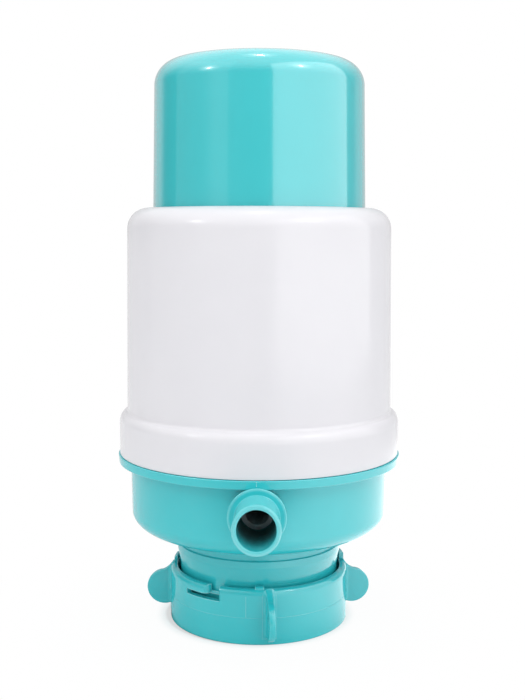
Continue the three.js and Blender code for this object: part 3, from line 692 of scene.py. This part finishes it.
# Two raised stops stand on the rim beside the side ears, and a small nub at the front shows how
# far the collar is turned.
stops = []
for start, end, outer, top in stop_shapes:
    stops.append(sector("stop", [
        (stop_inner, stop_foot), (outer, stop_foot),
        *arc(outer - 0.6, top - 0.7, 0.6, 0.7, 0, 90, 6),
        *arc(stop_inner + 0.45, top - 0.45, 0.45, 0.45, 90, 180, 5),
    ], start, end))
nub = sector("nub", [
    (32.3, nub_foot), (34.9, nub_foot), (34.95, 20.7), *arc(34.35, 21.5, 0.6, 0.8, 0, 90, 6),
    *arc(32.8, 21.8, 0.5, 0.5, 90, 180, 4),
], *spread(nub_bearing, nub_sweep), 4)

# The mould leaves a fine raised margin round the root of each ear: a blade that starts inside the
# collar's wall, cut to a shell that stands a little proud of it.
margin_reach = (34, 38)
margin_foot = 2.5
shell_inner = 30
shell_foot = 1.2
margin_shell = turned("margin_shell", [
    (shell_inner, shell_foot), (collar_radius + margin_proud, shell_foot),
    *arc(collar_radius - rim_run, collar_height - rim_rise, rim_run + margin_proud,
         rim_rise + margin_proud, 0, 66, 14),
    (shell_inner, collar_height - 0.4),
], fine_steps)
margin_side = [(-margin_half, margin_foot), (margin_half, margin_foot)]
margin_side += arc(0, margin_top, margin_half, margin_half, 0, 180, 20)
stand_up = Matrix.Rotation(pi / 2, 4, "X")
margins = [
    moved(prism("margin", margin_side, *margin_reach), about(bearing) @ stand_up)
    for bearing in ear_bearings
]
joined = margins[0]
combine(joined, margins[1:], "UNION")
combine(joined, [margin_shell], "INTERSECT")

# Inside, four cams press on the clamp ring. A fine upright witness line marks the mould's join.
cams = [
    wedge("cam", cam_inner, collar_bore + 1, turn + cam_start, turn + cam_start + cam_sweep,
          *cam_heights)
    for turn in quarter_turns
]
witness = wedge("witness", collar_radius - 0.5, collar_radius + witness_proud, *witness_bearings,
                parting_height + 0.01, collar_height - rim_rise - 0.05)
combine(collar, [joined] + ears + stops + [nub] + cams + [witness], "UNION")
fitted(collar, body_teal, "collar", ["locking_collar"])


# Clamp ring: a split white band of acetal inside the collar. The collar's cams press its pads in,
# and its claws take hold of the jug's neck.
clamp_inner = 29.1
clamp_outer = 30.8
clamp_foot = 1.95
clamp_top = 14.15
clamp_edge = 0.35
pad_radius = 32.75
pad_start = 26
pad_sweep = 20
claw_radius = 27.9
claw_sweep = 30
claw_heights = (5.15, 8.15)
key_turns = (90, 270)
key_sweep = 8
key_heights = (13.25, 16.3)
key_inner = 29.4
split_bearing = 135
split_sweep = 8
pad_margin = 1.4
inner_white = moulded_plastic(
    "inner_white", (0.76, 0.78, 0.79, 1), (0.71, 0.73, 0.745, 1), roughness=0.34, gloss=0.5
)
clamp_middle = (clamp_inner + clamp_outer) / 2
clamp_outline = [(clamp_inner + clamp_edge, clamp_foot)]
for x, z, start, end in ((clamp_outer - clamp_edge, clamp_foot + clamp_edge, -90, 0),
                         (clamp_outer - clamp_edge, clamp_top - clamp_edge, 0, 90),
                         (clamp_inner + clamp_edge, clamp_top - clamp_edge, 90, 180),
                         (clamp_inner + clamp_edge, clamp_foot + clamp_edge, 180, 260)):
    clamp_outline += arc(x, z, clamp_edge, clamp_edge, start, end, 4)
clamp = turned("clamp_band", clamp_outline)
clamp_parts = []
for turn in quarter_turns:
    clamp_parts.append(wedge("pad", clamp_middle, pad_radius, turn + pad_start,
                             turn + pad_start + pad_sweep, clamp_foot + pad_margin,
                             clamp_top - pad_margin))
    clamp_parts.append(wedge("claw", claw_radius, clamp_middle, *spread(turn, claw_sweep),
                             *claw_heights))
for turn in key_turns:
    clamp_parts.append(wedge("key", key_inner, clamp_outer - 0.05, *spread(turn, key_sweep),
                             *key_heights))
combine(clamp, clamp_parts, "UNION")
split = wedge("split", clamp_inner - 2, pad_radius + 1, *spread(split_bearing, split_sweep),
              clamp_foot - 1, key_heights[1] + 1)
combine(clamp, [split], "DIFFERENCE")
fitted(clamp, inner_white, "base", ["clamp_ring"])

# Neck gasket: a soft dark rubber ring that the jug's rim seals against. It lies in the neck, under
# the shelf, and its corners are rounded.
gasket_radii = (24.4, 29.0)
gasket_heights = (24.0, 26.9)
gasket_round = 0.9


def rubber(name, colour, worn, roughness):
    """Moulded rubber: a fine matt grain with paler, dusty places."""
    material, skin, place = blank(name)
    dust = place.noise(scale=70, detail=5, rough=0.6)
    grain = place.noise(scale=1900, detail=2)
    bump = skin.node(
        "ShaderNodeBump", inputs={"Strength": 0.5, "Distance": 0.00005, "Height": grain}
    )
    shader = skin.node(
        "ShaderNodeBsdfPrincipled",
        inputs={"Base Color": dust.between(0.42, 0.74).mix(colour, worn),
                "Roughness": roughness + 0.16 * dust, "Normal": bump, "Specular IOR Level": 0.4,
                "Sheen Weight": 0.12, "Sheen Roughness": 0.5},
    )
    skin.node("ShaderNodeOutputMaterial", inputs={"Surface": shader})
    return material


dark_rubber = rubber("dark_rubber", (0.035, 0.04, 0.043, 1), (0.07, 0.075, 0.078, 1), 0.6)
gasket_outline = []
for x, z, start in ((gasket_radii[1] - gasket_round, gasket_heights[0] + gasket_round, -90),
                    (gasket_radii[1] - gasket_round, gasket_heights[1] - gasket_round, 0),
                    (gasket_radii[0] + gasket_round, gasket_heights[1] - gasket_round, 90),
                    (gasket_radii[0] + gasket_round, gasket_heights[0] + gasket_round, 180)):
    gasket_outline += arc(x, z, gasket_round, gasket_round, start, start + 90, 6)
gasket = turned("gasket_ring", gasket_outline)
fitted(gasket, dark_rubber, "base", ["neck_gasket"])

# Base bowl: neck, bowl, flange and casing spigot in one glossy teal polypropylene moulding. The
# neck has a band under the bowl, and two lugs that the collar's latches take hold of.
neck_bore = 29.2
neck_radius = 31.9
neck_foot = 14.5
band_radius = 33.06
band_heights = (28.9, 31.6)
taper_foot = 22.4
taper_run = 1.1
taper_rise = 6.2
root_radius = 32.4
bowl_floor = 36.5
bowl_under = 36.4
bowl_corner = (35.4, 45)
bowl_run = 15.8
bowl_drop = 8.6
bowl_rim = 51.55
bowl_wall = 2.2
hollow_corner = (33.5, 45)
hollow_run = 15.5
hollow_drop = 6.3
flange_radius = 56.45
flange_heights = (65.15, 68.4)
flange_draft = 0.2
spigot_radius = 53.15
ledge_radius = 50.75
ledge_height = 65.4
spigot_top = 74.4
snap_height = 71.4
snap_proud = 0.3
bead_half = 0.6
shelf = (24.2, 27.0, 29.2)
lug_bearings = (-37, -25.2)
lug_radii = (30.6, 33.05)
lug_heights = (17.6, 18.8)
keyway_sweep = 9.8
keyway_top = 16.65
tick_bearings = (-0.35, 0.0)
tick_depth = 0.1
outlet_height = 54.0
rod_turn = 1.3
wall_hole = 8.3
hole_reach = (40, 60)
bowl_pad_radius = 12.4
bowl_pad_reach = (46.95, 52)
inside_radius = 50.1
inside_heights = (40, 65.3)
boss_radius = 3.8
boss_bore = 1.5
boss_bore_depth = 9
boss_web_half = 1.9
boss_web_reach = 6
screw_circle = 44.2
boss_foot = 53.4
boss_top = 66.4
bowl_outline = [
    (neck_bore, neck_foot),
    (neck_radius - 0.6, neck_foot),
    *arc(neck_radius - 0.6, neck_foot + 0.6, 0.6, 0.6, -80, 0, 4),
    (neck_radius, taper_foot),
    (neck_radius + taper_run, taper_foot + taper_rise),
    (band_radius - 0.03, band_heights[0] - 0.12),
    (band_radius, band_heights[0]),
    *arc(band_radius - 0.25, band_heights[1] - 0.25, 0.25, 0.25, 0, 90, 4),
    (root_radius + 0.45, band_heights[1]),
    *arc(root_radius + 0.45, band_heights[1] + 0.45, 0.45, 0.45, 270, 180, 4)[1:],
    (root_radius, bowl_under - 0.35),
    *arc(root_radius + 0.35, bowl_under - 0.35, 0.35, 0.35, 180, 95, 3)[1:],
    *arc(*bowl_corner, bowl_run, bowl_drop, -90, 0, 32),
    (bowl_rim - 0.02, flange_heights[0] - 0.6),
    *arc(bowl_rim + 0.58, flange_heights[0] - 0.6, 0.6, 0.6, 180, 90, 5)[1:],
    *arc(flange_radius - flange_draft - 0.35, flange_heights[0] + 0.35, 0.35, 0.35, -90, -4, 5),
    *arc(flange_radius - 0.3, flange_heights[1] - 0.3, 0.3, 0.3, 4, 90, 5),
    (spigot_radius, flange_heights[1]),
    (spigot_radius, snap_height - bead_half),
    (spigot_radius + snap_proud, snap_height),
    (spigot_radius, snap_height + bead_half),
    *arc(spigot_radius - 0.4, spigot_top - 0.4, 0.4, 0.4, 0, 90, 3),
    *arc(ledge_radius + 0.4, spigot_top - 0.4, 0.4, 0.4, 90, 180, 3),
    (ledge_radius, ledge_height),
    (bowl_rim - bowl_wall, ledge_height),
    *arc(*hollow_corner, hollow_run, hollow_drop, 0, -90, 16),
    (band_radius - bowl_wall, bowl_floor),
    (band_radius - bowl_wall, shelf[2]),
    (shelf[0], shelf[2]),
    (shelf[0], shelf[1]),
    (neck_bore, shelf[1]),
]
bowl = turned("bowl", bowl_outline, fine_steps)
to_front = Matrix.Translation((0, 0, outlet_height)) @ stand_up


def rod(name, radius, foot, top, steps):
    """An upright round rod on the axis."""
    return turned(name, [(0, foot), (radius, foot), (radius, top), (0, top)], steps)


def front_rod(name, radius, back, front):
    """A rod on the outlet's axis, between two distances from the pump's axis."""
    return moved(rod(name, radius, back, front, 96), to_front @ about(rod_turn))


# The pad thickens the wall round the outlet's hole. Four bosses take the plate's screws, and a
# fine mark on the flange shows the front.
bowl_inside = rod("bowl_inside", inside_radius, *inside_heights, 96)
bowl_pad = front_rod("bowl_pad", bowl_pad_radius, *bowl_pad_reach)
combine(bowl_pad, [bowl_inside], "INTERSECT")
bosses = [bowl_pad]
for turn in quarter_turns:
    boss = rod("boss", boss_radius, boss_foot, boss_top, 48)
    boss_web = block("boss_web", boss_web_half, -boss_web_reach, 0, boss_foot + 0.3,
                     inside_heights[1])
    boss_hole = rod("boss_hole", boss_bore, boss_top - boss_bore_depth, boss_top + overrun, 32)
    combine(combine(boss, [boss_web], "UNION"), [boss_hole], "DIFFERENCE")
    bosses.append(moved(boss, about(45 + turn) @ Matrix.Translation((0, -screw_circle, 0))))
lugs = [
    moved(wedge("lug", *lug_radii, *lug_bearings, *lug_heights), about(turn)) for turn in (0, 180)
]
tick = wedge("tick", flange_radius - 1, flange_radius + tick_depth, *tick_bearings,
             flange_heights[0] + 1.3, flange_heights[1] - 0.35)
combine(bowl, bosses + lugs + [tick], "UNION")
keyways = [
    wedge("keyway", neck_bore - 1, neck_radius + 1, *spread(turn, keyway_sweep), neck_foot - 1,
          keyway_top)
    for turn in key_turns
]
combine(bowl, keyways + [front_rod("wall_hole", wall_hole, *hole_reach)], "DIFFERENCE")
fitted(bowl, body_teal, "base", ["base_bowl"])

# Outlet socket: a separate thin-walled glossy teal moulding, pushed through the bowl's wall and
# held by a nut inside. Its rolled lip takes the spout, and its bore narrows inwards.
socket_mouth = 70
socket_radius = 8.2
socket_lip = 8.75
socket_bore = 6.95
socket_flange = 10.7
socket_face = 57.0
socket_edge = 0.45
flange_side = 51
flange_fillet = 0.35
lip_outside = (0.75, 0.7)
lip_inside = (0.6, 0.5)
lip_step = (2.1, 1.9, 0.1)
socket_lift = ((47.5, 0), (57, 1.25), (70.01, 0.15))
socket_oval = 0.055
socket_tail = 8.0
socket_tail_end = 38.8
socket_back = 48.9
bore_bend = 57
bore_foot = 43.3
tail_bore = 6.4
tail_gap = 0.02
skin_gaps = (0.2, 0.15)
socket = turned("socket", [
    (tail_bore, socket_tail_end),
    (socket_tail, socket_tail_end),
    (socket_tail, socket_back),
    (socket_flange, socket_back),
    (socket_flange, flange_side),
    *arc(socket_flange - socket_edge, socket_face - socket_edge, socket_edge, socket_edge,
         0, 90, 6),
    *arc(socket_radius + flange_fillet, socket_face + flange_fillet, flange_fillet,
         flange_fillet, 270, 180, 5),
    (socket_radius, socket_mouth - lip_step[0]),
    (socket_radius + lip_step[2], socket_mouth - lip_step[1]),
    *arc(socket_lip - lip_outside[0], socket_mouth - lip_outside[1], *lip_outside, 0, 90, 8),
    *arc(socket_bore + lip_inside[0], socket_mouth - lip_inside[1], *lip_inside, 90, 180, 7),
    (socket_bore, bore_bend),
    (tail_bore, bore_foot),
])
moved(socket, to_front)

# The tube droops a little from its lifted flange, and its mouth is slightly taller than wide.
for vert in socket.data.vertices:
    depth = -vert.co.y
    for (near, low), (far, high) in zip(socket_lift, socket_lift[1:]):
        if near < depth <= far:
            part = (depth - near) / (far - near)
            stretch = socket_oval * max(depth - socket_face, 0) / (socket_mouth - socket_face)
            vert.co.z += low + (high - low) * part + (vert.co.z - outlet_height) * stretch
            break

# The flange's back is cut to the bowl's curved wall, and only the tail goes through the wall.
bowl_skin = turned("bowl_skin", [
    (0, 30), (40, 30),
    *arc(bowl_corner[0] + skin_gaps[0], bowl_corner[1], bowl_run, bowl_drop, -60, 0, 20),
    (bowl_rim + skin_gaps[1], 65.4), (0, 65.4),
], fine_steps)
tail_room = front_rod("tail_room", socket_tail + tail_gap, 20, 60)
combine(bowl_skin, [tail_room], "DIFFERENCE")
combine(socket, [bowl_skin], "DIFFERENCE")
# Deep in the socket's bore its colour is painted dark, painted shade; its thin edges get the
# painted highlight.
socket_teal = moulded_plastic(
    "socket_teal", teal, deep_teal, teal_roughness, teal_gloss, edge=edge_highlight_teal, thin=0.00155,
    bore=(0, 0.012, 0.013, 1)
)
fitted(socket, socket_teal, "base", ["outlet_socket"])

# Riser: one translucent moulding. A barbed nipple takes the suction tube, a vented flange lies
# on the neck's shelf, and an elbow leads the water forward.
riser_radius = 6.2
riser_bore = 4.5
nipple_foot = 17.0
nipple_radius = 5.3
barb_pitch = 3.075
barb_step = 0.4
riser_flange = (30.7, 29.3, 31.3)
vent_circle = 15.5
vent_radius = 4
vent_heights = (28, 33)
vent_count = 6
branch_end = 45.4
barb_count = 3
bore_gap = 0.06
riser_outline = [(0, nipple_foot), (nipple_radius - 0.3, nipple_foot)]
for i in range(barb_count):
    riser_outline += [
        (nipple_radius - (0.3 if i == 0 else 0), nipple_foot + i * barb_pitch + 0.02),
        (nipple_radius + barb_step, nipple_foot + (i + 1) * barb_pitch - 0.25),
        (nipple_radius + barb_step, nipple_foot + (i + 1) * barb_pitch),
    ]
riser_outline += [
    (nipple_radius, nipple_foot + barb_count * barb_pitch),
    (nipple_radius, riser_flange[1] - 0.6),
    *arc(nipple_radius + 0.6, riser_flange[1] - 0.6, 0.6, 0.6, 180, 90, 4)[1:],
    *arc(riser_flange[0] - 0.3, riser_flange[1] + 0.3, 0.3, 0.3, -90, 0, 3),
    *arc(riser_flange[0] - 0.3, riser_flange[2] - 0.3, 0.3, 0.3, 0, 90, 3),
    *arc(riser_radius + 0.8, riser_flange[2] + 0.8, 0.8, 0.8, 270, 180, 4),
    *arc(0, outlet_height, riser_radius, riser_radius, 0, 90, 12),
]
riser_body = moved(turned("riser_body", riser_outline, 96), about(0.9))
combine(riser_body, [front_rod("branch", riser_radius - bore_gap, 0, branch_end)], "UNION")
bore_cap = turned("bore_cap", [(0, nipple_foot - 1), (riser_bore, nipple_foot - 1),
                               *arc(0, outlet_height, riser_bore, riser_bore, 0, 90, 10)], 88)
riser_cuts = []
for i in range(vent_count):
    vent = rod("vent", vent_radius, *vent_heights, 40)
    outward = Matrix.Translation((0, -vent_circle, 0))
    riser_cuts.append(moved(vent, about(360 / vent_count * i) @ outward))
riser_cuts += [bore_cap, front_rod("branch_bore", riser_bore - bore_gap, 0, branch_end + 1)]
combine(riser_body, riser_cuts, "DIFFERENCE")
fitted(riser_body, inner_white, "base", ["riser"])

# Bellows: a pleated tube of pale rubber between two flat lips. It stands on the valve plate, and
# the cap squeezes it.
bellows_foot = 69.1
bellows_top = 213.4
bellows_lip = (27.6, 36, 33.3)
bellows_lip_height = 2
bellows_wall = 1.1
bellows_radii = (29.7, 36)
bellows_round = 0.5
pleat_heights = (74.5, 208)
pleat_count = 7
pleat_steps = 16
pleat_softness = 0.55
pale_rubber = rubber("pale_rubber", (0.42, 0.47, 0.48, 1), (0.5, 0.55, 0.56, 1), 0.5)
pleats = []
for i in range(pleat_count * pleat_steps + 1):
    swing = i / pleat_steps
    wave = (1 - cos(2 * pi * swing)) / 2
    fold = 1 - abs(2 * (swing % 1) - 1)
    out = pleat_softness * wave + (1 - pleat_softness) * fold
    rise = pleat_heights[0] + (pleat_heights[1] - pleat_heights[0]) * swing / pleat_count
    pleats.append((bellows_radii[0] + (bellows_radii[1] - bellows_radii[0]) * out, rise))
lip = bellows_lip_height
rounded = (bellows_round, bellows_round)
bellows_corner = bellows_radii[0] + bellows_round
bellows_outline = [
    (bellows_lip[0], bellows_foot),
    (bellows_lip[1] - 0.4, bellows_foot),
    *arc(bellows_lip[1] - bellows_round, bellows_foot + lip - bellows_round, *rounded, 0, 90, 4),
    (bellows_corner, bellows_foot + lip),
    *arc(bellows_corner, bellows_foot + lip + bellows_round, *rounded, 270, 180, 4)[1:],
    *pleats,
    *arc(bellows_corner, bellows_top - lip - bellows_round, *rounded, 180, 90, 4)[:-1],
    (bellows_corner, bellows_top - lip),
    (bellows_lip[2], bellows_top - lip),
    (bellows_lip[2], bellows_top),
    (bellows_lip[0], bellows_top),
    (bellows_lip[0], bellows_top - lip),
    (bellows_radii[0] - bellows_wall, bellows_top - lip - bellows_wall),
    *[(r - bellows_wall, z) for r, z in reversed(pleats)],
    (bellows_radii[0] - bellows_wall, bellows_foot + lip + bellows_wall),
    (bellows_lip[0], bellows_foot + lip),
]
bellows_piece = turned("bellows_skin", bellows_outline, 96)
fitted(bellows_piece, pale_rubber, "base", ["bellows"], 50)
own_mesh(bellows_piece)

# Return spring: nine turns of bright steel wire inside the bellows, with a flat turn at each
# end. It lifts the cap again.
spring_radius = 14.6
wire_radius = 1.0
spring_turns = 9
spring_steps = 32
flat_pitch = 3.0
wire_sides = 12


def bright_steel(name):
    """Drawn steel wire: fine lines along the wire, and a slight straw tint in places."""
    material, skin, place = blank(name)
    lines = place.noise(scale=900, detail=3)
    stain = place.noise(scale=60, detail=4)
    tint = stain.between(0.45, 0.7).mix((0.6, 0.61, 0.62, 1), (0.57, 0.54, 0.49, 1))
    bump = skin.node(
        "ShaderNodeBump", inputs={"Strength": 0.4, "Distance": 0.00002, "Height": lines}
    )
    shader = skin.node(
        "ShaderNodeBsdfPrincipled",
        inputs={"Base Color": tint, "Metallic": 1.0, "Roughness": 0.22 + 0.2 * lines,
                "Normal": bump},
    )
    skin.node("ShaderNodeOutputMaterial", inputs={"Surface": shader})
    return material


steel = bright_steel("bright_steel")
spring_foot = bellows_foot + wire_radius
spring_top = bellows_top - wire_radius
wire_verts = []
wire_faces = []
spring_count = spring_turns * spring_steps
for i in range(spring_count + 1):
    turn = i / spring_steps
    turn_angle = 2 * pi * turn
    open_rise = spring_top - spring_foot - 2 * flat_pitch
    rise = spring_foot + flat_pitch * min(turn, 1)
    rise += open_rise * min(max(turn - 1, 0), spring_turns - 2) / (spring_turns - 2)
    rise += flat_pitch * max(turn - spring_turns + 1, 0)
    for j in range(wire_sides):
        side = 2 * pi * j / wire_sides
        out = spring_radius + wire_radius * cos(side)
        wire_verts.append((out * cos(turn_angle), out * sin(turn_angle),
                           rise + wire_radius * sin(side)))
    if i:
        a, b = (i - 1) * wire_sides, i * wire_sides
        for j in range(wire_sides):
            k = (j + 1) % wire_sides
            wire_faces.append((a + j, a + k, b + k, b + j))
wire_faces.append(tuple(range(wire_sides))[::-1])
wire_faces.append(tuple(range(spring_count * wire_sides, (spring_count + 1) * wire_sides)))
spring = piece("spring_wire", wire_verts, wire_faces)
fitted(spring, steel, "base", ["return_spring"], 60)
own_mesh(spring)

# Outer casing: the white shell, one glossy moulding snapped over the bowl's spigot. Its front is
# left bare, and four ribs inside keep the cap straight.
casing_foot = 68.5
skirt_radius = 55.85
skirt_top = 81.1
skirt_rise = 4.3
skirt_step = 3.1
casing_wall_foot = 52.75
casing_wall_top = 52.05
casing_top = 165.4
casing_round = 8
casing_mouth = 42.3
casing_ceiling = 163.2
casing_inner_round = 4.4
skirt_bore = 53.5
rib_half = 1
rib_reach = (-50.9, -45.6)
rib_heights = (93, 161)
casing_wall = 2.2
mouth_edge = 0.5
skirt_edge = 0.35
groove_half = 1.2
casing_white = moulded_plastic(
    "casing_white", (0.772, 0.764, 0.797, 1), (0.759, 0.751, 0.785, 1), roughness=0.16,
    gloss=0.5, grain=0.6
)
casing_outline = [
    (skirt_bore, casing_foot),
    *arc(skirt_radius - skirt_edge, casing_foot + skirt_edge, skirt_edge, skirt_edge, -90, 0, 5),
    *arc(skirt_radius - skirt_step, skirt_top, skirt_step, skirt_rise, 0, 78, 12),
    (casing_wall_foot + 0.28, skirt_top + skirt_rise + 0.25),
    (casing_wall_foot, skirt_top + skirt_rise + 0.9),
    *arc(casing_wall_top - casing_round, casing_top - casing_round, casing_round, casing_round,
         0, 90, 18),
    *arc(casing_mouth + mouth_edge, casing_top - mouth_edge, mouth_edge, mouth_edge, 90, 180, 5),
    (casing_mouth, casing_ceiling),
    *arc(casing_wall_top - casing_wall - casing_inner_round, casing_ceiling - casing_inner_round,
         casing_inner_round, casing_inner_round, 90, 0, 8),
    (casing_wall_foot - casing_wall, skirt_top + 3.2),
    (skirt_bore, skirt_top - casing_wall),
    (skirt_bore, snap_height + groove_half),
    (skirt_bore + snap_proud, snap_height),
    (skirt_bore, snap_height - groove_half),
]
casing = turned("casing_shell", casing_outline, fine_steps)
ribs = []
for turn in quarter_turns:
    rib = block("rib", rib_half, *rib_reach, *rib_heights)
    ribs.append(moved(rib, about(45 + turn)))
combine(casing, ribs, "UNION")
fitted(casing, casing_white, "base", ["outer_casing"])

# Press cap: a deep glossy teal cup, pushed down by hand. Its crown is slightly domed, its wall
# has a moulding draft, and a flange at its foot stops it in the casing.
cap_foot = 159.7
cap_flange = 45.2
cap_flange_top = 163.1
cap_foot_radius = 41.85
cap_top_radius = 41.0
cap_round = 9.6
cap_top = 223.8
cap_crown_radius = 300
cap_wall = 2
pusher_radii = (29.2, 31)
pusher_foot = 216
pusher_top = 221
notch_half = 4
notch_reach = 33
notch_depth = 2.4
cap_teal = moulded_plastic(
    "cap_teal", (0.025, 0.545, 0.585, 1), (0.022, 0.53, 0.57, 1), roughness=0.16, gloss=1.0,
    grain=0.4, lacquer=1.0
)
round_x = cap_top_radius - cap_round
crown_middle = cap_top - cap_crown_radius
round_z = crown_middle + sqrt((cap_crown_radius - cap_round) ** 2 - round_x ** 2)
crown_turn = atan2(round_z - crown_middle, round_x) * 180 / pi
crown = arc(0, crown_middle, cap_crown_radius, cap_crown_radius, crown_turn, 90, 10)
under_radius = cap_crown_radius - cap_wall
under_crown = arc(0, crown_middle, under_radius, under_radius, 90, crown_turn, 8)
cap_outline = [
    (cap_foot_radius - cap_wall, cap_foot),
    (cap_flange, cap_foot),
    (cap_flange, cap_flange_top),
    (cap_foot_radius, cap_flange_top),
    *arc(round_x, round_z, cap_round, cap_round, 0, crown_turn, 20),
    *crown[1:-1],
    (0, cap_top),
    (0, cap_top - cap_wall),
    *under_crown[1:],
    *arc(round_x, round_z, cap_round - cap_wall, cap_round - cap_wall, crown_turn, 0, 10)[1:],
]
cap = turned("cap_shell", cap_outline, fine_steps)

# Under the crown, a notched ring pushes on the bellows' top plate.
pusher = turned("pusher", [(pusher_radii[0], pusher_foot), (pusher_radii[1], pusher_foot),
                           (pusher_radii[1], pusher_top), (pusher_radii[0], pusher_top)])
notches = []
for turn in (0, 90):
    notch = block("notch", notch_half, -notch_reach, notch_reach, pusher_foot - 1,
                  pusher_foot + notch_depth)
    notches.append(moved(notch, about(turn)))
combine(pusher, notches, "DIFFERENCE")
combine(cap, [pusher], "UNION")
fitted(cap, cap_teal, "press", ["press_cap"])

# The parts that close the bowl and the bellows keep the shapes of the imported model: valve plate,
# seal, retaining ring, top plate, outlet washer and nut, air valves and screws.
kept_finishes = {
    "valve_plate": inner_white, "bellows_retainer": inner_white, "bellows_top_plate": inner_white,
    "outlet_nut": inner_white, "delivery_valve_cage": inner_white,
    "intake_valve_cage": inner_white, "plate_seal": dark_rubber, "outlet_washer": dark_rubber,
    "delivery_valve_disc": dark_rubber, "intake_valve_disc": dark_rubber,
    **{f"plate_screw_{number}": steel for number in range(1, 5)},
}
for node, finish in kept_finishes.items():
    for material_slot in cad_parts[node].material_slots:
        material_slot.material = finish

bpy.context.view_layer.update()
